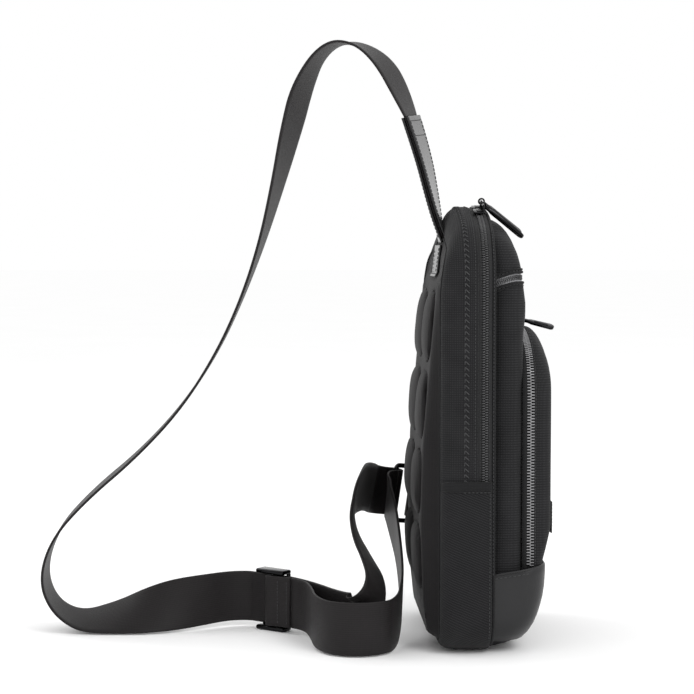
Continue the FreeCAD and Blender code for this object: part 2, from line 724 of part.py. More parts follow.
# ---------------------------------------------------------------- zip sliders and pulls
def arc_plate(centre_z, y_low, y_high, inner, outer, start, end):
    """A curved plate that lies along an arched zip, from one angle off the vertical to another."""
    width = y_high - y_low
    ring = Part.makeCylinder(outer, width, Vector(0, y_low, centre_z), Vector(0, 1, 0))
    ring = ring.cut(Part.makeCylinder(inner, width, Vector(0, y_low, centre_z), Vector(0, 1, 0)))
    reach = 2 * outer

    def ray(angle):
        a = math.radians(angle)
        return Vector(reach * math.sin(a), y_low, centre_z + reach * math.cos(a))

    wedge = Part.makePolygon([Vector(0, y_low, centre_z), ray(start), ray(end),
                              Vector(0, y_low, centre_z)])
    return ring.common(Part.Face(wedge).extrude(Vector(0, width, 0)))


def pull_shape(centre, hang, length):
    """A flat zip pull with an eye round a bail that lies along X; hang points to its tip."""
    side = Vector(1, 0, 0)
    normal = hang.cross(side)
    eye = tube(centre, side, size("pull_width") - 2.4, size("eye_radius"), size("eye_hole"))
    start = size("eye_radius") - 0.6
    blade = local_box(centre + hang * ((start + length) / 2), hang, side, normal,
                      length - start, size("pull_width"), size("pull_thick"))
    return eye.fuse(blade).removeSplitter()


POST_SLIM = 0.15  # the posts are slimmer than the bar, so that their surfaces don't coincide


def bail_shape(centre, lower, length, foot):
    """A bridge along X that a pull hangs from; lower points from the bail down to its slider."""
    bail = size("bail_radius")
    pieces = [rod(centre, Vector(1, 0, 0), length, bail)]
    for sign in (-1, 1):
        post = centre + Vector(sign * (length / 2 - bail), 0, 0) + lower * (foot / 2)
        pieces.append(rod(post, lower, foot, bail - POST_SLIM))
    return pieces


SLIDER_LENGTH = 10.8
SLIDER_PLATE = 1.6
BAIL_LENGTH = 10.6
BAIL_RISE = size("eye_radius") + 1.2
BAIL_FORWARD = 3.0
RUN_CLEAR = 0.35
MAIN_PARKED = (("left", -11.5), ("right", -16.5))  # degrees off the crest of the arch
MAIN_HANG = 39.0  # degrees a pull hangs below the level
POCKET_PARKED = -6.2
POCKET_HANG = 14.0
MAIN_PLATE_WIDTH = 9.0
POCKET_PLATE_WIDTH = 5.0
UPPER_PLATE_WIDTH = 7.0
UPPER_PARKED_X = 52.0


def make_arch_slider(prefix, centre_z, coil_top, y_mid, width, forward, at, hang_angle, length):
    """A slider over an arched zip, parked at an angle off its crest, with a pull that hangs forward."""
    inner = coil_top + RUN_CLEAR
    outer = inner + SLIDER_PLATE
    half = math.degrees(SLIDER_LENGTH / 2 / inner)
    plate = arc_plate(centre_z, y_mid - width / 2, y_mid + width / 2, inner, outer, -half, half)
    bail_at = Vector(0, y_mid - forward, centre_z + outer + BAIL_RISE)
    pieces = bail_shape(bail_at, Vector(0, 0, -1), BAIL_LENGTH, BAIL_RISE + SLIDER_PLATE / 2)
    a = math.radians(hang_angle)
    pull = pull_shape(bail_at, Vector(0, -math.cos(a), -math.sin(a)), length)
    slider = plate.multiFuse(pieces)
    for shape in (slider, pull):
        shape.rotate(Vector(0, 0, centre_z), Vector(0, 1, 0), at)
    shape_part(prefix.replace("pull", "slider"), slider)
    shape_part(prefix, pull)
    parked = Rotation(Vector(0, 1, 0), at).multVec(bail_at - Vector(0, 0, centre_z))
    print("%s bail at %.2f %.2f %.2f" % (prefix, parked.x, parked.y, parked.z + centre_z))


def make_upper_slider():
    """The slider of the straight zip across the leaning front panel."""
    lean = math.atan2(size("slant_run"), size("slant_rise"))
    out = Vector(0, -math.cos(lean), math.sin(lean))
    down = Vector(0, -math.sin(lean), -math.cos(lean))
    z = (size("upper_zip_low") + size("upper_zip_high")) / 2
    y = size("front_plane") + (z - size("slant_low")) * math.tan(lean)
    surface = Vector(UPPER_PARKED_X, y, z)
    plate_at = surface + out * (RUN_CLEAR + SLIDER_PLATE / 2)
    side = Vector(1, 0, 0)
    plate = local_box(plate_at, side, down, side.cross(down), SLIDER_LENGTH, UPPER_PLATE_WIDTH,
                      SLIDER_PLATE)
    bail_at = surface + out * (RUN_CLEAR + SLIDER_PLATE + BAIL_RISE)
    pieces = bail_shape(bail_at, out * -1, BAIL_LENGTH, BAIL_RISE + SLIDER_PLATE / 2)
    shape_part("upper_slider", plate.multiFuse(pieces))
    shape_part("upper_pull", pull_shape(bail_at, down, size("short_pull")))
    print("upper_pull bail at %.2f %.2f %.2f" % (bail_at.x, bail_at.y, bail_at.z))


def make_sliders():
    arch_z = size("crest") - size("top_radius")
    coil_top = size("top_radius") - TAPE_INSET + size("coil_rise")
    for side, parked in MAIN_PARKED:
        make_arch_slider("main_pull_" + side, arch_z, coil_top, ZIP_MID, MAIN_PLATE_WIDTH,
                         BAIL_FORWARD, parked, MAIN_HANG, size("pull_length"))
    pocket_z = size("pocket_top") - size("pocket_radius")
    pocket_mid = (size("pocket_zip_front") + size("pocket_zip_rear")) / 2
    make_arch_slider("pocket_pull", pocket_z, size("pocket_radius") + 0.5, pocket_mid,
                     POCKET_PLATE_WIDTH, 0.0, POCKET_PARKED, POCKET_HANG, size("short_pull"))
    make_upper_slider()


# ---------------------------------------------------------------- build, check, write
def main():
    make_gusset()
    make_bottom_gusset()
    make_main_zip()
    make_binding()
    front_body = make_front_panel()
    make_bumper(front_body)
    make_front_pocket()
    make_badge()
    make_side_pockets()
    make_base_panel()
    make_back_panel()
    make_back_pads()
    make_yoke()
    make_inside()
    make_strap()
    make_slider()
    make_ring()
    make_sliders()
    doc.recompute()
    for obj in doc.Objects:
        if "Invalid" in obj.State or "Error" in obj.State:
            raise RuntimeError("failed object: " + obj.Label)
    os.makedirs("parts", exist_ok=True)
    for obj in subparts:
        shape = obj.Shape
        if shape.isNull() or not shape.isValid() or not shape.Solids:
            raise RuntimeError("bad shape: " + obj.Label)
    for obj in subparts:
        obj.Shape.exportStep("parts/%s.step" % obj.Label)
        box = obj.Shape.BoundBox
        print("%-24s %2d solids x %7.1f %7.1f y %7.1f %7.1f z %7.1f %7.1f" % (
            obj.Label, len(obj.Shape.Solids), box.XMin, box.XMax, box.YMin, box.YMax, box.ZMin, box.ZMax))


main()
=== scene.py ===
import math

import bmesh
import bpy
from mathutils import Matrix, Vector, noise


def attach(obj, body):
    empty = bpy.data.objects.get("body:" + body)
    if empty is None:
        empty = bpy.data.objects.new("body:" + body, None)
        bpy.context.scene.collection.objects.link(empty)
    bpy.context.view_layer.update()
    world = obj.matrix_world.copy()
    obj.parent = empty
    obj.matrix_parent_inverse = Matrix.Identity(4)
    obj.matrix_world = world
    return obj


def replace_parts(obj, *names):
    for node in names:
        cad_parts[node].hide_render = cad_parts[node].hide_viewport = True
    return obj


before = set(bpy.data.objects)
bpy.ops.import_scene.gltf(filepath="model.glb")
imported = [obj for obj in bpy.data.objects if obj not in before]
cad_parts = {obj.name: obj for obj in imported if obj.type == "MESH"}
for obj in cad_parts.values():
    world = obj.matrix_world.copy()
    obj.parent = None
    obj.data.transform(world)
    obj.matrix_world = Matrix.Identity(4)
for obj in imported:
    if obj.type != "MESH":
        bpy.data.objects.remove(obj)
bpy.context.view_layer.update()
MM = 0.001

# ---------------------------------------------------------------- camera
CAMERA_AT = (-1.4192, 0.1382, 0.300)
CAMERA_YAW = math.radians(2.0)
CAMERA_PITCH = math.radians(3.0)
LENS_MM = 94.3


def make_camera():
    data = bpy.data.cameras.new("camera")
    data.sensor_width = 36.0
    data.lens = LENS_MM
    data.clip_start = 0.05
    data.clip_end = 30.0
    camera = add_object("camera", data)
    camera.location = CAMERA_AT
    aim = Vector((math.cos(CAMERA_YAW) * math.cos(CAMERA_PITCH),
                  -math.sin(CAMERA_YAW) * math.cos(CAMERA_PITCH),
                  -math.sin(CAMERA_PITCH)))
    camera.rotation_euler = aim.to_track_quat("-Z", "Y").to_euler()
    bpy.context.scene.camera = camera


# ---------------------------------------------------------------- small tools
ALONG_X = Vector((1.0, 0.0, 0.0))
BACKWARD = Vector((0.0, 1.0, 0.0))
FORWARD = Vector((0.0, -1.0, 0.0))
UP = Vector((0.0, 0.0, 1.0))


def mm(x, y, z):
    return Vector((x * MM, y * MM, z * MM))


def add_object(name, data, body=None, slot=None, material=None):
    piece = bpy.data.objects.new(name, data)
    bpy.context.scene.collection.objects.link(piece)
    if material is not None:
        piece.data.materials.append(material)
    if body:
        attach(piece, body)
    return piece


def mesh_data(name, verts, faces, smooth=True, weave=None):
    """A mesh, with the place on the cloth of each vertex, in metres, as its weave attribute."""
    data = bpy.data.meshes.new(name)
    data.from_pydata([tuple(v) for v in verts], [], faces)
    if weave is not None:
        layer = data.attributes.new("weave", "FLOAT_VECTOR", "POINT")
        layer.data.foreach_set("vector", [c for w in weave for c in (w[0], w[1], 0.0)])
    fix_normals(data)
    if smooth:
        data.shade_smooth()
    data.update()
    return data


def fix_normals(data):
    bm = bmesh.new()
    bm.from_mesh(data)
    bmesh.ops.recalc_face_normals(bm, faces=bm.faces)
    bm.to_mesh(data)
    bm.free()


def grid_faces(rows, columns, close_rows=False, close_columns=False):
    """Four-sided faces between neighbouring rows of points."""
    faces = []
    for i in range(rows if close_rows else rows - 1):
        for j in range(columns if close_columns else columns - 1):
            a = i * columns + j
            b = i * columns + (j + 1) % columns
            c = ((i + 1) % rows) * columns + (j + 1) % columns
            d = ((i + 1) % rows) * columns + j
            faces.append((a, b, c, d))
    return faces


def with_middle(rows, middle):
    """Vertices and faces of a surface whose rows run from all round a rim to one middle point."""
    count = len(rows)
    width = len(rows[0])
    verts = [v for row in rows for v in row] + [middle]
    faces = grid_faces(count, width, close_rows=True)
    faces += [(i * width + width - 1, ((i + 1) % count) * width + width - 1, count * width)
              for i in range(count)]
    return verts, faces


def inward(edge, shares, centre_z, depth):
    """Points from a rim point towards the middle of a face; depth(z, share) gives the Y of each."""
    points = []
    for share in shares:
        z = centre_z * MM + (edge.z - centre_z * MM) * share
        points.append(Vector((edge.x * share, depth(z / MM, share) * MM, z)))
    return points


def as_bmesh(verts, faces):
    bm = bmesh.new()
    made = [bm.verts.new(v) for v in verts]
    for face in faces:
        bm.faces.new([made[i] for i in face])
    return bm


def cut_level(bm, height, side):
    """Cuts a bmesh at a height and removes what is above it (side 1) or below it (side -1)."""
    bmesh.ops.bisect_plane(bm, geom=bm.verts[:] + bm.edges[:] + bm.faces[:], dist=1e-6,
                           plane_co=(0.0, 0.0, height * MM), plane_no=(0.0, 0.0, side),
                           clear_outer=True)


def swept(name, rings, weave=None, closed=False, **kind):
    """A closed solid through a row of equal rings; a closed sweep joins its last ring to its first."""
    count = len(rings[0])
    verts = [v for ring in rings for v in ring]
    faces = grid_faces(len(rings), count, close_rows=closed, close_columns=True)
    if not closed:
        faces.append(tuple(range(count)))
        faces.append(tuple(range(len(verts) - count, len(verts))))
    return add_object(name, mesh_data(name, verts, faces, weave=weave), **kind)


def nurbs_points(points, resolution):
    """Points along the smooth line that has these control points, evenly spread in its parameter."""
    data = bpy.data.curves.new("route", "CURVE")
    data.dimensions = "3D"
    data.resolution_u = resolution
    spline = data.splines.new("NURBS")
    spline.points.add(len(points) - 1)
    for target, point in zip(spline.points, points):
        target.co = (*point, 1.0)
    spline.order_u = 3
    spline.use_endpoint_u = True
    holder = bpy.data.objects.new("route", data)
    line = bpy.data.meshes.new_from_object(holder)
    found = [v.co.copy() for v in line.vertices]
    bpy.data.objects.remove(holder)
    bpy.data.curves.remove(data)
    bpy.data.meshes.remove(line)
    return found


def lengths_along(points):
    total = [0.0]
    for a, b in zip(points, points[1:]):
        total.append(total[-1] + (b - a).length)
    return total


def tangents(points):
    last = len(points) - 1
    return [(points[min(i + 1, last)] - points[max(i - 1, 0)]).normalized() for i in range(last + 1)]


def segments(total, wants):
    """For rising distances along a line: the segment each one falls in, and its share of that segment."""
    k = 0
    for want in wants:
        while k < len(total) - 2 and total[k + 1] < want:
            k += 1
        span = total[k + 1] - total[k]
        yield k, (want - total[k]) / span if span > 0 else 0.0


def resample(points, step, extra):
    """The same line at even steps, with a list of vectors that is carried along with it."""
    total = lengths_along(points)
    count = max(2, round(total[-1] / step))
    places = list(segments(total, [total[-1] * i / count for i in range(count + 1)]))
    return [[line[k].lerp(line[k + 1], part) for k, part in places] for line in (points, extra)]


# ---------------------------------------------------------------- strap routes
SLIDER_AT = Vector((14, 146, 24.5))
SLIDER_DIR = Vector((-0.62, -0.785, 0)).normalized()
SLIDER_OUT = Vector((SLIDER_DIR.y, -SLIDER_DIR.x, 0))
WEBBING_WIDTH = 40.0
WEBBING_THICK = 2.0
BAR_RADIUS = 1.75
BAR_OFFSET = WEBBING_THICK / 2 + 0.4 + BAR_RADIUS
LOOP_OFFSET = BAR_OFFSET + WEBBING_THICK + 0.1
LOOP_TAIL = 22.0

RING_PULL = Vector((0.38, -0.917, -0.12)).normalized()
RING_LEAN = Vector((-0.05, -0.10, 0.98))
RING_BAR = (RING_LEAN - RING_PULL * RING_LEAN.dot(RING_PULL)).normalized()
RING_NORMAL = RING_BAR.cross(RING_PULL)
RING_SEAM = Vector((88.0, 17.0, 97.0))
TAB_BAR_AT = RING_SEAM - RING_PULL * 16.0
STRAP_BAR_AT = TAB_BAR_AT - RING_PULL * 18.0
WRAP_RADIUS = 5.8
WRAP_AT = STRAP_BAR_AT - RING_PULL * 0.8
RIBBON_STEP = 1.5


def beside_slider(distance, off=0.0):
    return SLIDER_AT + SLIDER_DIR * distance + SLIDER_OUT * off


def beside_ring(distance, side):
    return WRAP_AT - RING_PULL * distance + RING_NORMAL * (side * WRAP_RADIUS)


# each route is a list of (control point in millimetres, direction of the webbing's width)
TAB = [
    ((0, 13.5, 308), (1, -0.04, 0)),
    ((0, 17.6, 322), (1, -0.12, 0.02)),
    ((0, 22.4, 344), (0.98, -0.20, 0.06)),
    ((0, 29.5, 376), (0.96, -0.26, 0.10)),
    ((0, 39, 405), (0.95, -0.29, 0.08)),
]

LONG_STRAND = [
    ((0, 39, 405), (0.95, -0.29, 0.08)),
    ((0, 46.2, 423), (0.90, -0.40, 0.12)),
    ((0, 60, 448), (0.90, -0.38, 0.20)),
    ((-2, 84, 463), (0.98, -0.10, 0.15)),
    ((-4, 107, 457), (0.98, -0.17, -0.08)),
    ((-7, 123, 428), (0.86, -0.46, 0.20)),
    ((-11, 133, 391), (0.86, -0.42, 0.28)),
    ((-15, 143, 350), (0.96, -0.25, 0.10)),
    ((-19, 155, 306), (0.99, -0.10, 0.02)),
    ((-20, 170, 264), (1, -0.03, 0.02)),
    ((-17, 189, 223), (0.99, -0.04, 0.05)),
    ((-11, 216, 181), (0.99, -0.05, 0.08)),
    ((-4, 251, 143), (0.99, -0.06, 0.08)),
    ((3, 290, 110), (0.99, -0.05, 0.10)),
    ((9, 318, 79), (0.99, -0.04, 0.10)),
    ((14, 329, 46), (0.99, -0.02, 0.10)),
    ((18, 321, 20), (0.98, 0.03, 0.12)),
    ((19, 301, 7), (0.96, 0.05, 0.20)),
    ((14, 272, 11), (0.86, 0.05, 0.42)),
    ((9, 246, 17), (0.62, 0.05, 0.76)),
    ((11, 222, 21.5), (0.30, 0.02, 0.95)),
    ((19, 201, 23.5), (0.08, 0, 1)),
    ((29, 182, 24.5), UP),
    (beside_slider(-26), UP),
    (beside_slider(-18), UP),
    (beside_slider(0), UP),
    (beside_slider(18), UP),
    ((-18, 114, 23.5), UP),
    ((-41, 99, 22), UP),
    ((-60, 86, 22.5), (-0.05, 0, 1)),
    ((-73, 76, 29), (-0.25, 0.25, 0.93)),
    ((-71, 69, 43), (-0.45, 0.30, 0.84)),
    ((-54, 70, 59), (-0.60, 0.50, 0.60)),
    ((-36, 78, 73), (-0.82, 0.33, 0.42)),
    ((-22, 84, 89), (-0.90, 0.15, 0.38)),
    ((-8, 84, 104), (-0.72, -0.05, 0.68)),
    ((14, 79, 111), (-0.36, -0.15, 0.92)),
    ((38, 74, 111), (-0.10, -0.12, 1)),
    ((58, 68, 108), (-0.10, -0.16, 0.98)),
    (beside_ring(13, 1), (-0.07, -0.13, 0.98)),
    (beside_ring(0, 1), RING_BAR),
]

SHORT_STRAND = [
    (beside_ring(0, -1), -RING_BAR),
    (beside_ring(7, -1), -RING_BAR),
    ((58, 53, 96), (0.25, 0, -0.97)),
    ((40, 50, 84), (0.50, 0.05, -0.86)),
    ((18, 47.5, 68), (0.55, 0, -0.84)),
    ((-6, 46.5, 50), (0.60, 0, -0.80)),
    ((-28, 47, 36), (0.50, 0, -0.86)),
    ((-48, 50, 26), (0.35, 0, -0.94)),
    ((-66, 54, 21.5), (0.10, 0, -1)),
    ((-84, 62, 21), -UP),
    ((-91, 86, 21), -UP),
    ((-83, 105, 21), -UP),
    ((-62, 115, 21.5), -UP),
    ((-36, 117, 23), -UP),
    (beside_slider(LOOP_TAIL + 13, LOOP_OFFSET), -UP),
    (beside_slider(LOOP_TAIL + 0.4, LOOP_OFFSET), -UP),
]


class Ribbon:
    """A smooth route of flat webbing: its centre line, the direction of its width and its normal."""

    def __init__(self, route):
        points = [mm(*p) for p, _ in route]
        tips = [p + Vector(w).normalized() * 10 * MM for p, (_, w) in zip(points, route)]
        centre = nurbs_points(points, 24)
        wides = [t - c for t, c in zip(nurbs_points(tips, 24), centre)]
        self.points, wides = resample(centre, RIBBON_STEP * MM, wides)
        self.along = lengths_along(self.points)
        self.length = self.along[-1]
        ahead = tangents(self.points)
        self.wides = [(w - t * w.dot(t)).normalized() for w, t in zip(wides, ahead)]
        self.normals = [t.cross(w) for t, w in zip(ahead, self.wides)]

    def at(self, along, across, up):
        """A point on the webbing, in metres along, across from its middle and off its plane."""
        k, part = next(segments(self.along, [along]))
        point, wide, normal = (line[k].lerp(line[k + 1], part)
                               for line in (self.points, self.wides, self.normals))
        return point + wide * across + normal * up, normal


def band_section(half_width, low, high):
    """The outline of a flat band's section, with soft edges: (across, up) pairs in metres."""
    edge = min((high - low) / 2, half_width / 2)
    flat = half_width - edge
    across = [flat * (i / 6 - 1) for i in range(13)]
    end = [(flat + edge * math.cos(e), (low + high) / 2 + edge * math.sin(e))
           for e in (-math.pi / 4, 0.0, math.pi / 4)]
    return ([(a, low) for a in across] + end + [(a, high) for a in reversed(across)]
            + [(-a, up) for a, up in reversed(end)])


def ribbon_piece(name, ribbon, half_width, low, high, **kind):
    """Webbing or leather along a ribbon."""
    section = band_section(half_width, low, high)
    rings = []
    weave = []
    for p, w, n, s in zip(ribbon.points, ribbon.wides, ribbon.normals, ribbon.along):
        rings.append([p + w * a + n * u for a, u in section])
        weave += [(s, a + (0.5 * WEBBING_WIDTH * MM if u > (low + high) / 2 else 0)) for a, u in section]
    return swept(name, rings, weave, **kind)


LONG = Ribbon(LONG_STRAND)
SHORT = Ribbon(SHORT_STRAND)
TAB_LINE = Ribbon(TAB)


# ---------------------------------------------------------------- materials
class Look:
    """A procedural material: a Principled shader with helpers that add its nodes."""

    def __init__(self, name, colour, roughness, **inputs):
        self.material = bpy.data.materials.new(name)
        self.material.use_nodes = True
        self.tree = self.material.node_tree
        self.shader = self.tree.nodes["Principled BSDF"]
        for socket, value in {"Base Color": (*colour, 1.0), "Roughness": roughness, **inputs}.items():
            self.shader.inputs[socket].default_value = value

    def node(self, kind, inputs=None, **settings):
        made = self.tree.nodes.new(kind)
        for name, value in settings.items():
            setattr(made, name, value)
        for name, value in (inputs or {}).items():
            self.feed(made.inputs[name], value)
        return made

    def feed(self, socket, value):
        if hasattr(value, "is_linked"):
            self.tree.links.new(value, socket)
        else:
            socket.default_value = value

    def math(self, operation, *values, clamp=False):
        made = self.node("ShaderNodeMath", operation=operation, use_clamp=clamp)
        for socket, value in zip(made.inputs, values):
            self.feed(socket, value)
        return made.outputs[0]

    def axes(self, source):
        """The x, y and z of the weave attribute, or of the object's own coordinates."""
        if source == "weave":
            vector = self.node("ShaderNodeAttribute", attribute_name="weave").outputs["Vector"]
        else:
            vector = self.node("ShaderNodeTexCoord").outputs["Object"]
        split = self.node("ShaderNodeSeparateXYZ", {"Vector": vector})
        return vector, split.outputs

    def wave(self, value, pitch):
        """0 to 1 and back once every pitch millimetres."""
        angle = self.math("MULTIPLY", value, 2 * math.pi / (pitch * MM))
        return self.math("MULTIPLY_ADD", self.math("SINE", angle), 0.5, 0.5)

    def noise(self, vector, scale, detail=2.0, roughness=0.5):
        made = self.node("ShaderNodeTexNoise", {"Vector": vector, "Scale": scale, "Detail": detail,
                                                "Roughness": roughness})
        return made.outputs["Fac"]

    def blend(self, fac, low, high):
        """A colour between two, by fac."""
        made = self.node("ShaderNodeMix", data_type="RGBA")
        self.feed(made.inputs[0], fac)
        self.feed(made.inputs[6], (*low, 1.0))
        self.feed(made.inputs[7], (*high, 1.0))
        return made.outputs[2]

    def spread(self, fac, low, high):
        """A number between two, by fac."""
        return self.math("MULTIPLY_ADD", fac, high - low, low)

    def surface(self, colour, roughness=None, height=None, depth=0.0, strength=1.0):
        """Links the shader's colour, roughness and relief, the last one depth millimetres deep."""
        self.feed(self.shader.inputs["Base Color"], colour)
        if roughness is not None:
            self.feed(self.shader.inputs["Roughness"], roughness)
        if height is not None:
            made = self.node("ShaderNodeBump", {"Height": height, "Distance": depth * MM,
                                                "Strength": strength})
            self.feed(self.shader.inputs["Normal"], made.outputs[0])
        return self.material


def cloth_shine(sheen, sheen_roughness, specular):
    """Shader inputs of a cloth that shines a little."""
    return {"Sheen Weight": sheen, "Sheen Roughness": sheen_roughness, "Specular IOR Level": specular}


def basket_fabric(name, low, high, pitch, source="weave", ribs=0.0):
    """Plain heavy cloth: threads over and under, with a slow unevenness."""
    look = Look(name, high, 0.8, **cloth_shine(0.06, 0.5, 0.12))
    vector, (x, y, z) = look.axes(source)
    if source == "weave":
        warp = look.wave(x, pitch)
        weft = look.wave(y, pitch)
    else:
        warp = look.wave(z, pitch)
        weft = look.wave(look.math("ADD", x, y), pitch)
    cross = look.math("MULTIPLY", warp, weft)
    threads = look.math("MULTIPLY_ADD", warp, ribs, look.math("MULTIPLY", cross, 1.0 - ribs))
    uneven = look.noise(vector, 55.0, 3.0)
    fac = look.math("MULTIPLY_ADD", uneven, 0.5, look.math("MULTIPLY", threads, 0.6), clamp=True)
    height = look.math("MULTIPLY_ADD", uneven, 0.35, threads)
    return look.surface(look.blend(fac, low, high), look.spread(uneven, 0.72, 0.9), height, 0.28)


def twill_fabric(name, low, high):
    """Diagonal twill: slanting wales of twisted thread."""
    look = Look(name, high, 0.78, **cloth_shine(0.06, 0.5, 0.10))
    vector, (x, y, _) = look.axes("weave")
    slope = look.math("MULTIPLY_ADD", y, -0.42, x)
    wale = look.wave(slope, 1.9)
    thread = look.wave(look.math("MULTIPLY_ADD", x, 0.42, y), 1.3)
    rope = look.math("MULTIPLY_ADD", thread, 0.35, look.math("MULTIPLY", wale, 0.75))
    uneven = look.noise(vector, 50.0, 3.0)
    fac = look.math("MULTIPLY_ADD", uneven, 0.35, look.math("MULTIPLY", rope, 0.7), clamp=True)
    return look.surface(look.blend(fac, low, high), look.spread(uneven, 0.7, 0.88), rope, 0.35)


def soft_knit(name, low, high):
    """Close spacer knit of the back: fine cells on a soft matt cloth."""
    look = Look(name, high, 0.85, **cloth_shine(0.08, 0.45, 0.14))
    vector, (_, _, z) = look.axes("object")
    cells = look.node("ShaderNodeTexVoronoi", {"Vector": vector, "Scale": 620.0, "Randomness": 0.35})
    rows = look.wave(z, 1.5)
    uneven = look.noise(vector, 40.0, 3.0)
    knit = look.math("MULTIPLY_ADD", rows, 0.3, cells.outputs["Distance"])
    fac = look.math("MULTIPLY_ADD", uneven, 0.7, look.math("MULTIPLY", knit, 0.3), clamp=True)
    return look.surface(look.blend(fac, low, high), look.spread(uneven, 0.72, 0.92), knit, 0.16)


def leather_look(name, low, high, gloss, grain=900.0):
    """Grained leather with creases and slow wear."""
    look = Look(name, high, gloss, **{"Specular IOR Level": 0.28, "Coat Weight": 0.06,
                                      "Coat Roughness": 0.3})
    vector, _ = look.axes("object")
    pebble = look.node("ShaderNodeTexVoronoi", {"Vector": vector, "Scale": grain, "Randomness": 0.9},
                       feature="SMOOTH_F1")
    crease = look.noise(vector, 160.0, 5.0, 0.6)
    wear = look.noise(vector, 28.0, 4.0, 0.55)
    colour = look.blend(look.math("MULTIPLY_ADD", wear, 0.9, -0.05, clamp=True), low, high)
    height = look.math("MULTIPLY_ADD", crease, 0.5, pebble.outputs["Distance"])
    return look.surface(colour, look.spread(wear, gloss - 0.08, gloss + 0.1), height, 0.12, 0.6)


def webbing_look(name, low, high):
    """Close satin webbing: fine ribs along it, crossed by the weft."""
    look = Look(name, high, 0.5, **cloth_shine(0.04, 0.4, 0.18))
    vector, (x, y, _) = look.axes("weave")
    ribs = look.wave(y, 1.6)
    weft = look.wave(look.math("MULTIPLY_ADD", ribs, 0.0004, x), 1.1)
    weave = look.math("MULTIPLY_ADD", weft, 0.55, look.math("MULTIPLY", ribs, 0.45))
    uneven = look.noise(vector, 35.0, 3.0)
    fac = look.math("MULTIPLY_ADD", uneven, 0.4, look.math("MULTIPLY", weave, 0.6), clamp=True)
    return look.surface(look.blend(fac, low, high), look.spread(fac, 0.42, 0.6), weave, 0.14, 0.8)


def tape_look(name, low, high, roughness):
    """Zip tape: a small herringbone."""
    look = Look(name, high, roughness, **{"Sheen Weight": 0.05, "Specular IOR Level": 0.25})
    vector, (x, y, _) = look.axes("weave")
    fold = look.math("ABSOLUTE", look.math("SINE", look.math("MULTIPLY", y, 2 * math.pi / (3.2 * MM))))
    bone = look.wave(look.math("MULTIPLY_ADD", fold, 0.0006, x), 0.9)
    uneven = look.noise(vector, 60.0, 2.0)
    fac = look.math("MULTIPLY_ADD", uneven, 0.5, look.math("MULTIPLY", bone, 0.5), clamp=True)
    gloss = look.spread(uneven, roughness - 0.08, roughness + 0.12)
    return look.surface(look.blend(fac, low, high), gloss, bone, 0.1)


def hard_look(name, low, high, metallic, low_gloss, high_gloss, scale=90.0):
    """Metal or plastic with faint wear in its colour and gloss."""
    look = Look(name, high, low_gloss, Metallic=metallic)
    vector, _ = look.axes("object")
    wear = look.noise(vector, scale, 5.0, 0.6)
    fine = look.noise(vector, scale * 14, 2.0)
    gloss = look.spread(wear, low_gloss, high_gloss)
    return look.surface(look.blend(wear, low, high), gloss, fine, 0.015, 0.5)


SHELL = basket_fabric("shell_fabric", (0.005, 0.005, 0.0054), (0.032, 0.032, 0.0335), 1.7)
PANEL = basket_fabric("panel_fabric", (0.006, 0.006, 0.0064), (0.029, 0.029, 0.0305), 1.9, "object", 0.45)
PLAIN = basket_fabric("plain_cloth", (0.007, 0.007, 0.0074), (0.022, 0.022, 0.023), 1.1, "object", 0.2)
TWILL = twill_fabric("twill", (0.003, 0.003, 0.0033), (0.025, 0.025, 0.0262))
KNIT = soft_knit("back_mesh", (0.006, 0.0056, 0.006), (0.018, 0.0168, 0.0175))
LEATHER = leather_look("leather", (0.012, 0.012, 0.0127), (0.021, 0.021, 0.0222), 0.38)
GLOSSY = leather_look("glossy_leather", (0.011, 0.011, 0.0116), (0.020, 0.020, 0.021), 0.20, 700.0)
WEBBING = webbing_look("webbing", (0.004, 0.0036, 0.0038), (0.021, 0.0183, 0.019))
TAPE = tape_look("zip_tape", (0.006, 0.006, 0.0064), (0.019, 0.019, 0.020), 0.62)
SHINY_TAPE = tape_look("shiny_zip_tape", (0.16, 0.16, 0.165), (0.34, 0.34, 0.35), 0.36)
COIL = hard_look("nylon_coil", (0.020, 0.020, 0.021), (0.048, 0.048, 0.050), 0.0, 0.24, 0.38)
TEETH = hard_look("metal_teeth", (0.15, 0.15, 0.153), (0.34, 0.34, 0.346), 1.0, 0.16, 0.32)
HARDWARE = hard_look("hardware", (0.009, 0.009, 0.0095), (0.026, 0.026, 0.0275), 1.0, 0.12, 0.26)
THREAD = hard_look("thread", (0.012, 0.012, 0.013), (0.050, 0.050, 0.052), 0.0, 0.5, 0.7, 400.0)
LINING = basket_fabric("lining", (0.10, 0.10, 0.105), (0.19, 0.19, 0.20), 0.8, "object", 0.3)
BOARD = hard_look("board", (0.07, 0.07, 0.07), (0.12, 0.12, 0.12), 0.0, 0.55, 0.75)


def on_bag(slot, material):
    """What a piece of the bag's own body is made with."""
    return {"body": "bag", "slot": slot, "material": material}


SHELL_CLOTH = on_bag("shell_fabric", SHELL)
PANEL_CLOTH = on_bag("shell_fabric", PANEL)
PLAIN_CLOTH = on_bag("shell_fabric", PLAIN)
TWILL_CLOTH = on_bag("twill", TWILL)
ZIP_TAPE = on_bag("zip_tape", TAPE)
ZIP_COIL = on_bag("nylon_coil", COIL)
SOFT_LEATHER = on_bag("leather", LEATHER)
GLOSSY_LEATHER = on_bag("leather", GLOSSY)
BAG_WEBBING = on_bag("webbing", WEBBING)
BAG_LINING = on_bag("lining", LINING)


def metal(body):
    """What a piece of hardware on a moving body is made with."""
    return {"body": body, "slot": "hardware", "material": HARDWARE}


# ---------------------------------------------------------------- shapes along paths
def soft_power(value, power):
    """A power of a number's size, with its sign."""
    return math.copysign(abs(value) ** power, value)


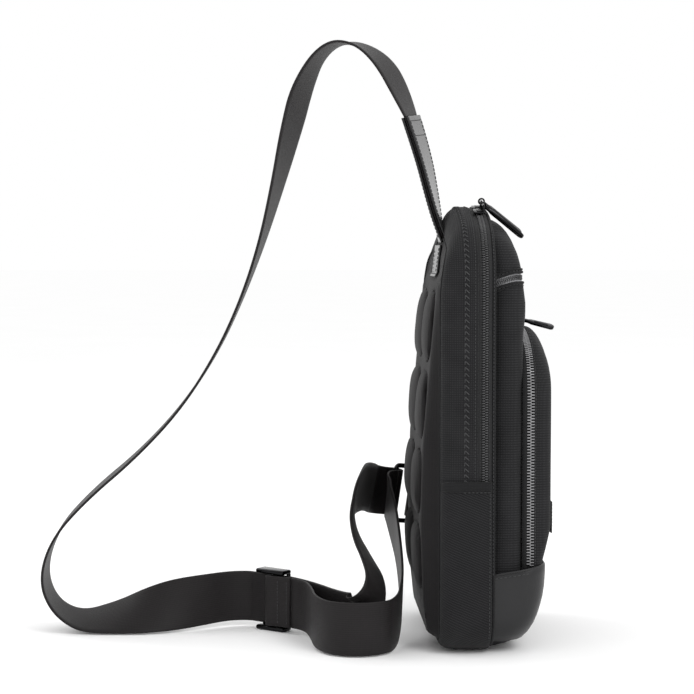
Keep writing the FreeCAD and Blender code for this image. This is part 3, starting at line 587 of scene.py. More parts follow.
def circle(first, second, sides):
    """Unit directions round a circle that starts at first and turns towards second."""
    angles = [2 * math.pi * k / sides for k in range(sides)]
    return [first * math.cos(a) + second * math.sin(a) for a in angles]


def tube(name, points, radius, closed=False, sides=8, **kind):
    """A round bar or piping along points, with rounded ends where it is open."""
    rounds = []
    count = len(points)
    side = None
    for i, p in enumerate(points):
        a = points[i - 1] if (closed or i > 0) else p
        b = points[(i + 1) % count] if (closed or i < count - 1) else p
        t = (b - a).normalized()
        if side is None:
            side = UP if abs(t.z) < 0.9 else ALONG_X
        side = (side - t * side.dot(t)).normalized()
        rounds.append((p, t, circle(side, t.cross(side), sides)))
    rings = [[p + d * radius for d in ring] for p, _, ring in rounds]
    if not closed:
        caps = [[p + t * (sign * radius * 0.6) + d * (radius * 0.6) for d in ring]
                for (p, t, ring), sign in ((rounds[0], -1), (rounds[-1], 1))]
        rings = [caps[0]] + rings + [caps[1]]
    return swept(name, rings, closed=closed, **kind)


def merged(name, parts, smooth=True, **kind):
    """One mesh from many (verts, faces) parts."""
    verts = []
    faces = []
    for part_verts, part_faces in parts:
        base = len(verts)
        verts += part_verts
        faces += [tuple(base + i for i in face) for face in part_faces]
    return add_object(name, mesh_data(name, verts, faces, smooth), **kind)


def pill(start, end, up, radius, flat=1.0):
    """A small thread or tooth from start to end: six sides, narrower at its ends."""
    t = (end - start).normalized()
    side = t.cross(up).normalized()
    lift = side.cross(t)
    verts = []
    for place, scale in ((0.0, 0.35), (0.18, 1.0), (0.82, 1.0), (1.0, 0.35)):
        p = start.lerp(end, place)
        verts += [p + d * (radius * scale) for d in circle(side, lift * flat, 6)]
    faces = grid_faces(4, 6, close_columns=True)
    faces += [tuple(range(5, -1, -1)), tuple(range(18, 24))]
    return verts, faces


def along_line(points, ups, pitch, inset=0.0):
    """Even places along a line: (point, tangent, up), pitch apart."""
    total = lengths_along(points)
    wants = []
    want = inset
    while want < total[-1] - inset:
        wants.append(want)
        want += pitch
    return [(points[k].lerp(points[k + 1], part), (points[k + 1] - points[k]).normalized(),
             ups[k].lerp(ups[k + 1], part).normalized()) for k, part in segments(total, wants)]


def stitches(name, lines, pitch=3.2, length=2.3, radius=0.32, body="bag", slot="shell_fabric"):
    """Rows of raised thread; lines is a list of (points, outward directions)."""
    parts = []
    for points, ups in lines:
        for p, t, up in along_line(points, ups, pitch * MM, pitch * MM * 0.4):
            reach = t * (length * MM / 2)
            lift = up * (radius * 0.35 * MM)
            parts.append(pill(p - reach + lift, p + reach + lift, up, radius * MM))
    return merged(name, parts, body=body, slot=slot, material=THREAD)


def sides_between(corners, up):
    """Straight lines for stitches from each corner to the next."""
    return [([a, b], [up, up]) for a, b in zip(corners, corners[1:])]


def block(centre, axes, sizes, rounding, steps=3):
    """A rounded box as (verts, faces): its three directions, sizes and edge radius in millimetres."""
    bm = bmesh.new()
    bmesh.ops.create_cube(bm, size=1.0)
    for v in bm.verts:
        v.co = Vector([c * s * MM for c, s in zip(v.co, sizes)])
    bmesh.ops.bevel(bm, geom=bm.edges[:], offset=rounding * MM, segments=steps, profile=0.5, affect="EDGES")
    verts = [centre + axes[0] * v.co.x + axes[1] * v.co.y + axes[2] * v.co.z for v in bm.verts]
    faces = [tuple(v.index for v in f.verts) for f in bm.faces]
    bm.free()
    return verts, faces


# ---------------------------------------------------------------- the bag's outline
OUTLINE_STEP = 2.5


def arch_outline(half_width, crest, foot, top_radius, corner_radius, base_radius):
    """Samples (x, z, normal x, normal z, distance from the crest), from the base's middle up the -X side."""
    reach = top_radius - corner_radius
    shoulder_x = half_width - corner_radius
    top_z = crest - top_radius
    tilt = math.asin(shoulder_x / reach)
    shoulder_z = top_z + reach * math.cos(tilt)
    floor_x = half_width - base_radius
    quarter = math.pi / 2
    half = [(0.0, crest, 0.0, 1.0)]

    def arc(cx, cz, radius, start, end):
        count = max(4, round(radius * (end - start) / OUTLINE_STEP))
        for i in range(1, count + 1):
            a = start + (end - start) * i / count
            half.append((cx + radius * math.sin(a), cz + radius * math.cos(a), math.sin(a), math.cos(a)))

    def line(x0, z0, x1, z1, nx, nz):
        count = max(2, round(math.hypot(x1 - x0, z1 - z0) / OUTLINE_STEP))
        for i in range(1, count + 1):
            half.append((x0 + (x1 - x0) * i / count, z0 + (z1 - z0) * i / count, nx, nz))

    arc(0.0, top_z, top_radius, 0.0, tilt)
    arc(shoulder_x, shoulder_z, corner_radius, tilt, quarter)
    line(half_width, shoulder_z, half_width, foot + base_radius, 1.0, 0.0)
    arc(floor_x, foot + base_radius, base_radius, quarter, 2 * quarter)
    line(floor_x, foot, 0.0, foot, 0.0, -1.0)
    total = [0.0]
    for (x0, z0, _, _), (x1, z1, _, _) in zip(half, half[1:]):
        total.append(total[-1] + math.hypot(x1 - x0, z1 - z0))
    right = [(-x, z, -nx, nz, -s) for (x, z, nx, nz), s in zip(half, total)]
    left = [(x, z, nx, nz, s) for (x, z, nx, nz), s in zip(half, total)]
    return right[::-1] + left[1:-1]


def on_outline(sample, y, inset):
    """The point at a depth and at a distance inside the outline, in millimetres."""
    x, z, nx, nz, _ = sample
    return mm(x - nx * inset, y, z - nz * inset)


def outward(sample):
    return Vector((sample[2], 0.0, sample[3]))


def arch_band(name, samples, section, closed, **kind):
    """A band round an outline; section(sample) gives its closed outline there as (y, inset) points."""
    rings = []
    weave = []
    for sample in samples:
        ring = section(sample)
        rings.append([on_outline(sample, y, inset) for y, inset in ring])
        run = 0.0
        last = ring[0]
        for y, inset in ring:
            run += math.hypot(y - last[0], inset - last[1])
            last = (y, inset)
            weave.append((sample[4] * MM, run * MM))
    return swept(name, rings, weave, closed, **kind)


def upper(samples, z_low):
    return [s for s in samples if s[1] >= z_low]


def closed_band(low_y, high_y, outer, inner, edge=0.6):
    """A flat band's section with rounded corners."""
    return [(low_y, inner), (low_y, outer + edge), (low_y + edge * 0.3, outer + edge * 0.3),
            (low_y + edge, outer), ((low_y + high_y) / 2, outer), (high_y - edge, outer),
            (high_y - edge * 0.3, outer + edge * 0.3), (high_y, outer + edge), (high_y, inner)]


# ---------------------------------------------------------------- gusset and main zip
HALF_WIDTH = 90.0
CREST = 335.0
FOOT = 2.0
TOP_RADIUS = 150.0
CORNER_RADIUS = 45.0
BASE_RADIUS = 26.0
REAR = 22.5
ZIP_REAR = -5.0
ZIP_MID = -10.0
ZIP_FRONT = -15.0
BINDING_FRONT = -18.0
ZIP_END = 60.0
TAPE_INSET = 1.0
SHELL_THICK = 1.8
COIL_PITCH = 1.9
SIDE_TOP = 130.0

BAG = arch_outline(HALF_WIDTH, CREST, FOOT, TOP_RADIUS, CORNER_RADIUS, BASE_RADIUS)


def ease(share):
    """0 to 1 with a soft start and end."""
    share = min(1.0, max(0.0, share))
    return share * share * (3.0 - 2.0 * share)


def crown(sample):
    """0 down the sides and 1 over the arched top, where the edges are rounded more."""
    return min(1.0, max(0.0, (sample[3] - 0.25) / 0.75)) ** 1.5


def sag(sample, y, amount):
    """A slow unevenness of the cloth."""
    x, z, _, _, _ = sample
    return amount * noise.noise(Vector((x * 0.021, y * 0.05, z * 0.021)))


def rear_curve(sample, offset=0.0):
    """The gusset's rounding towards the rear seam, as (y, inset) points."""
    top = crown(sample)
    low = max(0.0, -sample[3])
    lean = 4.0 * ease((sample[1] - 262.0) / 50.0) + 3.5 * top
    deep = 12.0 + 4.0 * top - 3.0 * low
    drop = 10.0 + 14.0 * top - 4.0 * low
    start = REAR - lean - deep
    curve = []
    for i in range(10):
        a = math.pi / 2 * i / 9
        curve.append((start + (deep - 0.2 - offset * 0.3) * math.sin(a),
                      offset + drop * (1 - math.cos(a)) ** (1.0 + 0.3 * top)))
    return curve


def gusset_section(sample):
    """From the folded hem beside the zip over the padded band to the rear seam, and back inside."""
    outer = [(-4.4, 2.2), (-5.0, 1.1), (-4.6, 0.3), (-3.6, 0.0), (-2.6, 0.15), (-1.8, 0.0)]
    rear = rear_curve(sample)
    gap = (rear[0][0] + 1.8) / 4
    outer += [(-1.8 + gap * i, 0.0) for i in (1, 2, 3)]
    outer = [(y, inset + sag(sample, y, 0.5) * min(1.0, (y + 5.0) / 4)) for y, inset in outer]
    outer += [(y, inset + sag(sample, y, 0.5)) for y, inset in rear]
    return outer + rear_curve(sample, SHELL_THICK)[::-1] + [(-3.6, SHELL_THICK + 0.6)]


def outline_line(samples, y, inset):
    """A line at one (y, inset) round an outline, with its outward directions."""
    return [on_outline(s, y, inset) for s in samples], [outward(s) for s in samples]


def make_gusset():
    shell = arch_band("gusset_shell", BAG, gusset_section, True, **SHELL_CLOTH)
    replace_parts(shell, "gusset")
    # the strip under the zip runs across the base, from one zip end to the other
    start = next(i for i, s in enumerate(BAG) if s[1] > ZIP_END)
    stop = next(i for i in range(len(BAG) - 1, -1, -1) if BAG[i][1] > ZIP_END)
    across = BAG[stop:] + BAG[:start + 1]
    strip = arch_band("gusset_base_strip", across,
                      lambda s: closed_band(ZIP_FRONT, ZIP_REAR + 0.4, 0.4, SHELL_THICK + 0.6),
                      False, **SHELL_CLOTH)
    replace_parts(strip, "bottom_gusset")
    piping = [on_outline(s, *rear_curve(s)[-1]) for s in BAG]
    tube("rear_seam_piping", piping, 0.9 * MM, True, **PLAIN_CLOTH)


def surface_inset(sample, y):
    """How far in the gusset's outer face lies at a depth."""
    curve = rear_curve(sample)
    for (y0, inset0), (y1, inset1) in zip(curve, curve[1:]):
        if y0 <= y <= y1:
            return inset0 + (inset1 - inset0) * (y - y0) / (y1 - y0)
    return 0.0


def zigzag(samples, y_near, y_far, pitch, inset):
    """The slanting stitches of the row beside the main zip."""
    middle = (y_near + y_far) / 2
    half = BACKWARD * ((y_far - y_near) / 2 * MM)
    points = [on_outline(s, middle, inset + surface_inset(s, middle)) for s in samples]
    parts = []
    for p, t, up in along_line(points, [outward(s) for s in samples], pitch * MM):
        reach = t * (pitch * 0.36 * MM)
        lift = up * (0.12 * MM)
        parts.append(pill(p - half - reach + lift, p + half + reach + lift, up, 0.45 * MM))
        parts.append(pill(p + half - reach * 0.9 + lift, p + half + reach * 0.9 + lift, up, 0.4 * MM))
    return parts


def make_zip_tapes():
    for side, low, high in (("rear", ZIP_MID + 0.5, ZIP_REAR + 0.8),
                            ("front", ZIP_FRONT - 0.2, ZIP_MID - 0.5)):
        tape = arch_band("main_tape_" + side, upper(BAG, ZIP_END - 8.0),
                         lambda s: closed_band(low, high, TAPE_INSET + 0.1, TAPE_INSET + 1.2, 0.3),
                         False, **ZIP_TAPE)
        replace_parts(tape, "main_zip_tape_" + side)


def coil(points, ups, across, pitch, low, high, radius, flat):
    """One side of a coil zip: close loops lying across the line, from low to high along across."""
    return [pill(p + across * (low * MM), p + across * (high * MM), up, radius * MM, flat)
            for p, _, up in along_line(points, ups, pitch * MM)]


def shifted(points, distance):
    """A line moved along itself, which sets the second side of a coil between the loops of the first."""
    return [p + t * (distance * MM) for p, t in zip(points, tangents(points))]


def make_main_coil():
    """Both sides of the coil, and the rows of thread that sew them to the tapes."""
    top = upper(BAG, ZIP_END - 6.0)
    points, ups = outline_line(top, ZIP_MID, TAPE_INSET - 0.55)
    for side, line, across in (("rear", points, BACKWARD),
                               ("front", shifted(points, COIL_PITCH / 2), FORWARD)):
        loops = coil(line, ups, across, COIL_PITCH, -0.15, 2.35, 0.72, 0.9)
        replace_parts(merged("main_coil_" + side, loops, **ZIP_COIL), "main_zip_coil_" + side)
    parts = []
    for y in (ZIP_MID + 3.1, ZIP_MID - 3.1):
        line, ups = outline_line(top, y, TAPE_INSET + 0.05)
        for p, t, up in along_line(line, ups, COIL_PITCH * MM):
            parts.append(pill(p - t * (0.6 * MM), p + t * (0.6 * MM), up, 0.26 * MM))
    merged("main_coil_sewing", parts, **on_bag("nylon_coil", THREAD))


def make_gusset_stitches():
    parts = zigzag(upper(BAG, SIDE_TOP), 1.6, 5.0, 4.4, -0.15)
    merged("gusset_zigzag", parts, **on_bag("shell_fabric", THREAD))
    stitches("gusset_edge_stitches", [outline_line(upper(BAG, ZIP_END), -2.6, 0.0)], 2.6, 1.9, 0.26)


BINDING_SECTION = [  # (Y, inset) from the inner front edge over the ridge to the inner rear edge
    (-17.9, 12.0), (-18.2, 9.5), (-18.3, 4.0), (-18.0, 2.0), (-17.2, 1.1), (-16.3, 1.0), (-15.5, 1.5),
    (-15.2, 2.6), (-15.1, 6.0), (-15.2, 12.0),
]


def make_binding():
    band = arch_band("front_binding_tape", BAG, lambda s: BINDING_SECTION, True, **on_bag("webbing", PLAIN))
    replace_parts(band, "front_binding")
    stitches("binding_stitches", [outline_line(upper(BAG, ZIP_END), -16.4, 0.95)], 2.8, 2.0, 0.26)


# ---------------------------------------------------------------- front panel and upper zip
FRONT_PLANE = -40.0
SLANT_LOW = 262.0
SLANT_RUN = 8.0
SLANT_RISE = 60.0
SLANT = SLANT_RUN / SLANT_RISE
UPPER_LOW = 278.0
UPPER_HIGH = 284.0
UPPER_PITCH = 1.4
FRONT_INSET = 9.0
FACE_CENTRE_Z = 170.0


def front_depth(z):
    """How far the front face stands before the binding at a height."""
    swell = 1.8 * ease((z - 232.0) / 24.0) * (1.0 - ease((z - 300.0) / 25.0))
    return (BINDING_FRONT - FRONT_PLANE) - max(0.0, z - SLANT_LOW) * SLANT + swell


def front_grid(offset=0.0):
    """Vertices and faces of the front panel's skin, moved in by offset."""
    rows = []
    for sample in BAG:
        top = crown(sample)
        round_in = 10.0 + 11.0 * top
        edge_z = sample[1] - sample[3] * (FRONT_INSET + round_in)
        deep = front_depth(edge_z) - offset
        row = [on_outline(sample, BINDING_FRONT + 0.5, FRONT_INSET + offset)]
        # down the sides the cloth stands straight for nearly half its depth before it rounds over
        side = 0.0 if top > 0.98 else deep * 0.45 * (1.0 - top)
        row.append(on_outline(sample, BINDING_FRONT - side, FRONT_INSET + offset))
        for i in range(1, 10):
            a = math.pi / 2 * i / 9
            inset = FRONT_INSET + offset + round_in * (1 - math.cos(a))
            inset += sag(sample, i * 3.0, 0.5)
            row.append(on_outline(sample, BINDING_FRONT - side - (deep - side) * math.sin(a), inset))
        row += inward(row[-1], (0.9, 0.75, 0.6, 0.45, 0.3, 0.15), FACE_CENTRE_Z,
                      lambda z, share: BINDING_FRONT - front_depth(z) + offset)
        rows.append(row)
    return with_middle(rows, mm(0.0, BINDING_FRONT - front_depth(FACE_CENTRE_Z) + offset, FACE_CENTRE_Z))


def zip_droop(y):
    """The upper zip curves down where it goes round to the side seams; y in metres."""
    run = max(0.0, (y / MM - (FRONT_PLANE + 6.0)) / 16.0)
    return -4.5 * MM * min(run, 1.3) ** 1.3


def cut_front(low, high, offset):
    """The part of the front skin between two heights, measured along the curved zip line."""
    verts, faces = front_grid(offset)
    bm = as_bmesh([v - UP * zip_droop(v.y) for v in verts], faces)
    for height, side in ((low, -1.0), (high, 1.0)):
        if height is not None:
            cut_level(bm, height, side)
    edge = None
    if low is not None:
        edge = chain([e for e in bm.edges if all(abs(v.co.z - low * MM) < 2e-6 for v in e.verts)])
        edge = [p + UP * zip_droop(p.y) for p in edge]
    for v in bm.verts:
        v.co.z += zip_droop(v.co.y)
    bmesh.ops.recalc_face_normals(bm, faces=bm.faces)
    return bm, edge


def chain(edges):
    """The points of a row of joined edges, in order from its -X end."""
    near = {}
    for e in edges:
        a, b = e.verts
        near.setdefault(a, []).append(b)
        near.setdefault(b, []).append(a)
    ends = sorted((v for v, others in near.items() if len(others) == 1), key=lambda v: v.co.x)
    line = [ends[0]]
    while True:
        ahead = [v for v in near[line[-1]] if v not in line[-2:]]
        if not ahead:
            return [v.co.copy() for v in line]
        line.append(ahead[0])


def face_out(bm):
    """Turns an open skin's faces to the front, -Y."""
    lean = sum((f.normal.y * f.calc_area() for f in bm.faces), 0.0)
    if lean > 0:
        bmesh.ops.reverse_faces(bm, faces=bm.faces)


def thicken(piece, thick):
    """Gives an open skin its thickness, inwards."""
    solid = piece.modifiers.new("thickness", "SOLIDIFY")
    solid.thickness = thick * MM
    solid.offset = -1.0
    solid.use_rim = True


def skin_piece(name, bm, thick, **kind):
    face_out(bm)
    data = bpy.data.meshes.new(name)
    bm.to_mesh(data)
    bm.free()
    data.shade_smooth()
    piece = add_object(name, data, **kind)
    thicken(piece, thick)
    return piece


def line_out(points):
    """Directions away from the bag's middle for a line round its front."""
    return [Vector((p.x * 1.1, p.y + 0.012, 0.0)).normalized() for p in points]


def make_front_panel():
    """The panel above and below the upper zip, the zip, and the rolled lips on both sides of it."""
    bm, high_edge = cut_front(UPPER_HIGH, None, 0.0)
    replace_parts(skin_piece("front_panel_top", bm, SHELL_THICK, **PANEL_CLOTH), "front_panel_upper")
    bm, _ = cut_front(None, UPPER_LOW, 0.0)
    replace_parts(skin_piece("front_panel_face", bm, SHELL_THICK, **PANEL_CLOTH), "front_panel_lower")
    bm, _ = cut_front(UPPER_LOW - 1.5, UPPER_HIGH + 1.5, 0.55)
    tape = skin_piece("upper_tape", bm, 0.8, **on_bag("zip_tape", SHINY_TAPE))
    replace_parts(tape, "upper_zip_tape")
    bm, middle = cut_front((UPPER_LOW + UPPER_HIGH) / 2, UPPER_HIGH, 0.3)
    bm.free()
    bm, low_edge = cut_front(UPPER_LOW, UPPER_HIGH, 0.0)
    bm.free()
    for name, edge, rise in (("upper_zip_lip_high", high_edge, 0.9),
                             ("upper_zip_lip_low", low_edge, -0.9)):
        outs = line_out(edge)

        def beside(out, up):
            return [p + o * (out * MM) + UP * (up * rise * MM) for p, o in zip(edge, outs)]
        tube(name, beside(0.2, 1.0), 1.1 * MM, sides=10, **PLAIN_CLOTH)
        tube(name + "_fold", beside(0.1, 3.4), 0.8 * MM, **PLAIN_CLOTH)
        stitches(name + "_stitches", [(beside(0.35, 2.3), outs)], 2.8, 2.0, 0.24)
    outs = line_out(middle)
    parts = coil(middle, outs, UP, UPPER_PITCH, -0.1, 1.9, 0.5, 0.8)
    parts += coil(shifted(middle, UPPER_PITCH / 2), outs, -UP, UPPER_PITCH, -0.1, 1.9, 0.5, 0.8)
    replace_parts(merged("upper_coil", parts, **ZIP_COIL), "upper_zip_coil")


# ---------------------------------------------------------------- leather base
BUMPER_INSET = 4.0
BUMPER_TOP = 66.0
BUMPER_LEVELS = [  # (front Y, Z) from the top edge at the front down to the base
    (-58.2, BUMPER_TOP), (-58.2, 60.0), (-57.6, 50.0), (-56.4, 42.0), (-54.6, 35.0), (-52.4, 28.0),
    (-49.6, 21.0), (-46.2, 14.5), (-42.6, 8.8), (-38.0, 5.4), (-31.0, 3.8), (-20.0, 3.1),
]


def bumper_half_width(z):
    """The leather base's half width at a height: the bag's outline, set in."""
    radius = BASE_RADIUS - BUMPER_INSET
    drop = min(radius, max(0.0, FOOT + BUMPER_INSET + radius - z))
    return HALF_WIDTH - BUMPER_INSET - radius + math.sqrt(radius ** 2 - drop ** 2)


def bumper_ring(front, z, set_in=0.0):
    """One level of the leather base seen from above, from the rear edge round the front."""
    half = bumper_half_width(max(z, FOOT + BUMPER_INSET)) - set_in
    rear = BINDING_FRONT
    deep = rear - front - set_in
    corner = min(20.0, max(deep - 1.0, 0.5))
    points = [(-half, rear + 0.2)]
    points += [(-half, rear - (deep - corner) * i / 4) for i in range(1, 5)]
    for i in range(1, 9):
        a = math.pi / 2 * i / 8
        points.append((-half + corner * (1 - math.cos(a)), rear - deep + corner * (1 - math.sin(a))))
    across = half - corner
    points += [(across * (i / 6 - 1), rear - deep - 0.8 * math.sin(math.pi * i / 12)) for i in range(1, 12)]
    points += [(-x, y) for x, y in points[:13][::-1]]
    return points


def bumper_level(front, z, set_in=0.0):
    """A level of the leather base, which drops towards the rear, the more so the higher it lies."""
    drop = 6.0 * max(0.0, (z - 20.0) / (BUMPER_TOP - 20.0))
    deep = max(BINDING_FRONT - front, 1.0)
    return [mm(x, y, z - drop * (1 - min(1.0, (BINDING_FRONT - y) / deep)))
            for x, y in bumper_ring(front, z, set_in)]


def make_bumper():
    """The leather base: its outer face, its rounded rim and its inner face."""
    outer = [bumper_level(y, z) for y, z in BUMPER_LEVELS]
    top_y = BUMPER_LEVELS[0][0]
    rim = [bumper_level(top_y + 1.0, BUMPER_TOP + 0.6, 0.4), bumper_level(top_y + 2.2, BUMPER_TOP + 0.4, 1.6)]
    inner = [bumper_level(y, z, 2.2) for y, z in BUMPER_LEVELS[1:-2]]
    levels = inner[::-1] + rim[::-1] + outer
    verts = [v for level in levels for v in level]
    data = mesh_data("leather_base", verts, grid_faces(len(levels), len(levels[0])))
    base = add_object("leather_base", data, **SOFT_LEATHER)
    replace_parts(base, "base_bumper")
    level = bumper_level(-57.0, BUMPER_TOP - 3.0)
    outs = [Vector((p.x * 0.6, p.y - BINDING_FRONT * MM, 0.0)).normalized() for p in level]
    line = [p + o * (0.05 * MM) for p, o in zip(level, outs)]
    stitches("leather_base_stitches", [(line, outs)], 3.4, 2.4, 0.34, slot="leather")
    edge = [p + UP * (0.3 * MM) for p in bumper_level(-57.0, BUMPER_TOP)]
    tube("leather_base_edge", edge, 0.9 * MM, **SOFT_LEATHER)


# ---------------------------------------------------------------- front pocket
POCKET_FOOT = 40.0
POCKET_ZIP_REAR = -43.0
POCKET_ZIP_FRONT = -48.0
POCKET_FRONT = -63.0
POCKET_CREST = 242.0
POCKET_TOP_RADIUS = 130.0
POCKET = arch_outline(78.0, POCKET_CREST, POCKET_FOOT, POCKET_TOP_RADIUS, 42.0, BASE_RADIUS)
POCKET_LOW = 60.0
TOOTH_PITCH = 2.2
TOOTH_SIZES = (1.05, 3.3, 1.9)
POCKET_CENTRE_Z = 140.0


def make_pocket_sides():
    """The pocket's side cloth and its zip tape."""
    samples = upper(POCKET, POCKET_LOW)
    wall = arch_band("pocket_gusset", samples,
                     lambda s: [(-39.4, 2.2), (-39.4, 0.2), (-41.2, -0.1 + sag(s, 5.0, 0.3)), (-42.6, 0.1),
                                (-43.2, 0.6), (-43.2, 2.2)],
                     False, **PLAIN_CLOTH)
    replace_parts(wall, "front_pocket_gusset")
    tape = arch_band("pocket_tape", samples,
                     lambda s: closed_band(POCKET_ZIP_FRONT - 0.6, POCKET_ZIP_REAR + 0.6, 1.3, 2.3, 0.3),
                     False, **ZIP_TAPE)
    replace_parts(tape, "front_pocket_zip_tape")


def make_pocket_teeth():
    """Two rows of metal teeth; each tooth of one row lies between two of the other."""
    samples = upper(POCKET, BUMPER_TOP)
    middle = (POCKET_ZIP_REAR + POCKET_ZIP_FRONT) / 2
    points, ups = outline_line(samples, middle, 0.7)
    parts = []
    for sign, shift in ((-1, 0.0), (1, TOOTH_PITCH / 2)):
        for p, t, up in along_line(points, ups, TOOTH_PITCH * MM):
            at = p + BACKWARD * (sign * 1.15 * MM) + t * (shift * MM)
            parts.append(block(at, (t, BACKWARD, up), TOOTH_SIZES, 0.35, 2))
    teeth = merged("pocket_teeth", parts, smooth=False, **on_bag("metal_teeth", TEETH))
    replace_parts(teeth, "front_pocket_zip_teeth")
    rows = [outline_line(samples, y, 1.1) for y in (middle - 2.9, middle + 2.9)]
    stitches("pocket_tape_stitches", rows, 2.6, 1.8, 0.22, slot="zip_tape")


def taper(v):
    """The pocket's face draws back over its lowest part, to meet the leather base."""
    share = min(1.0, max(0.0, (95.0 - v.z / MM) / 29.0))
    zip_y = POCKET_ZIP_FRONT * MM
    if v.y < zip_y:
        v.y = zip_y + (v.y - zip_y) * (1.0 - 0.48 * share ** 1.2)
    return v


# (Y from the zip's front edge, inset) over the rolled edge of the face
POCKET_HEM = [(0.7, 2.2), (0.9, 1.0), (0.6, 0.3), (-0.2, 0.0), (-1.2, 0.15), (-2.2, 0.0)]


def make_pocket_face():
    rows = []
    for sample in POCKET:
        round_in = 9.0 + 13.0 * crown(sample)
        row = [on_outline(sample, POCKET_ZIP_FRONT + y, inset) for y, inset in POCKET_HEM]
        for i in range(1, 11):
            a = math.pi / 2 * i / 10
            inset = round_in * (1 - math.cos(a)) + sag(sample, i * 2.0, 0.4)
            row.append(on_outline(sample, POCKET_ZIP_FRONT - 2.2 - 11.6 * math.sin(a), inset))
        row += inward(row[-1], (0.92, 0.8, 0.65, 0.5, 0.35, 0.18), POCKET_CENTRE_Z,
                      lambda z, share: POCKET_FRONT + 0.8 - 0.75 * (1 - share ** 2))
        rows.append([taper(v) for v in row])
    bm = as_bmesh(*with_middle(rows, mm(0.0, POCKET_FRONT, POCKET_CENTRE_Z)))
    cut_level(bm, POCKET_LOW, -1.0)
    bmesh.ops.recalc_face_normals(bm, faces=bm.faces)
    face = skin_piece("pocket_face", bm, 1.4, **PANEL_CLOTH)
    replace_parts(face, "front_pocket_face")
    line = outline_line(upper(POCKET, BUMPER_TOP), POCKET_ZIP_FRONT - 1.2, 0.15)
    stitches("pocket_face_stitches", [line], 2.8, 2.0, 0.26)


def make_pocket_lining():
    """The pocket's lining, inside the drawn-back foot of its face."""
    lining = arch_band("pocket_lining_sleeve", upper(POCKET, 72.0),
                       lambda s: closed_band(POCKET_ZIP_FRONT - 6.0, FRONT_PLANE - 0.6, 11.9, 12.7, 0.2),
                       False, **BAG_LINING)
    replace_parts(lining, "front_pocket_lining")


BADGE_X = -42.0
BADGE_Z = 100.0
BADGE_SIZES = (42.0, 1.3, 24.0)


def make_badge():
    """A blank leather label with a sewn border."""
    centre = mm(BADGE_X, POCKET_FRONT - 0.45, BADGE_Z)
    plate = block(centre, (ALONG_X, FORWARD, UP), BADGE_SIZES, 0.5)
    label = merged("pocket_badge", [plate], **SOFT_LEATHER)
    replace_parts(label, "front_pocket_badge")
    corners = [mm(BADGE_X + x, POCKET_FRONT - 1.1, BADGE_Z + z)
               for x, z in ((-19, -10), (19, -10), (19, 10), (-19, 10), (-19, -10))]
    stitches("pocket_badge_stitches", sides_between(corners, FORWARD), 2.6, 1.8, 0.24, slot="leather")


# ---------------------------------------------------------------- side pockets
SIDE_FRONT = -15.2
SIDE_FOOT_X = 52.0
HEM_DEEP = 8.0


def side_inset(sample):
    """The slip pocket lies on the gusset and thins out under the base."""
    low = min(1.0, max(0.0, (sample[1] - 2.0) / 20.0))
    belly = math.sin(math.pi * min(1.0, max(0.0, (sample[1] - 10.0) / 125.0)))
    return -0.5 - 1.3 * low - 0.9 * belly


def side_section(sample):
    """The slip pocket's cloth: from the binding over the gusset and round its rear edge, and back."""
    out = side_inset(sample)
    rear = rear_curve(sample)[:-1]
    outer = [(SIDE_FRONT, 0.9), (SIDE_FRONT - 0.2, out + 1.2), (SIDE_FRONT + 0.3, out + 0.3),
             (SIDE_FRONT + 1.4, out), (SIDE_FRONT + 7, out - 0.2), (-2.0, out - 0.3), (5.0, out - 0.2)]
    outer += [(y, inset + out) for y, inset in rear]
    inner = [(y, inset + 0.6) for y, inset in rear]
    return outer + inner[::-1] + [(5.0, 0.6), (-2.0, 0.6)]


def hem_section(sample):
    return [(y, inset - 0.5) for y, inset in side_section(sample)]


def make_side_pockets():
    for name, sign in (("left", 1), ("right", -1)):
        side = [s for s in BAG if s[0] * sign > SIDE_FOOT_X]
        samples = [s for s in side if s[1] <= SIDE_TOP]
        pocket = arch_band("side_pocket_cloth_" + name, samples, side_section, False, **TWILL_CLOTH)
        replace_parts(pocket, "side_pocket_" + name)
        hem = [s for s in side if SIDE_TOP - HEM_DEEP <= s[1] <= SIDE_TOP + 1.5]
        arch_band("side_pocket_hem_" + name, hem, hem_section, False, **on_bag("twill", PLAIN))
        low = next(s for s in hem if s[1] < SIDE_TOP - 5.5)
        across = [on_outline(low, SIDE_FRONT + 1 + i * (8.0 - SIDE_FRONT) / 10, side_inset(low) - 0.8)
                  for i in range(11)]
        edge = [s for s in samples if s[1] > 12.0]
        down = [on_outline(s, SIDE_FRONT + 1.6, side_inset(s) - 0.1) for s in edge]
        rows = [(across, [outward(low)] * 11), (down, [outward(s) for s in edge])]
        stitches("side_pocket_stitches_" + name, rows, 3.0, 2.1, 0.28, slot="twill")


# ---------------------------------------------------------------- back
# (Y, Z) of the edges of the rows of pads, from the top down
BACK_PROFILE = [(24.0, 274.0), (29.5, 213.0), (34.5, 154.0), (36.0, 97.0), (34.0, 40.0), (31.0, 15.0)]
# the whole back, with the crown above the pads and the foot below them
BACK_LINE = [(15.5, 312.0), (16.8, 300.0), (18.6, 284.0)] + BACK_PROFILE + [(REAR + 4.0, 5.0)]
BACK_CENTRE_Z = 150.0


def back_y(z):
    """The padded back's depth at a height."""
    for (y0, z0), (y1, z1) in zip(BACK_LINE, BACK_LINE[1:]):
        if z1 <= z <= z0:
            return y0 + (y1 - y0) * (z0 - z) / (z0 - z1)
    return BACK_LINE[0][0] if z > BACK_LINE[0][1] else BACK_LINE[-1][0]


# (step in from the seam, share of the rise to the padded face)
BACK_EDGE = [(-0.6, 0.0), (0.6, 0.03), (3.0, 0.25), (6.0, 0.6), (9.5, 0.9), (13.0, 1.0)]


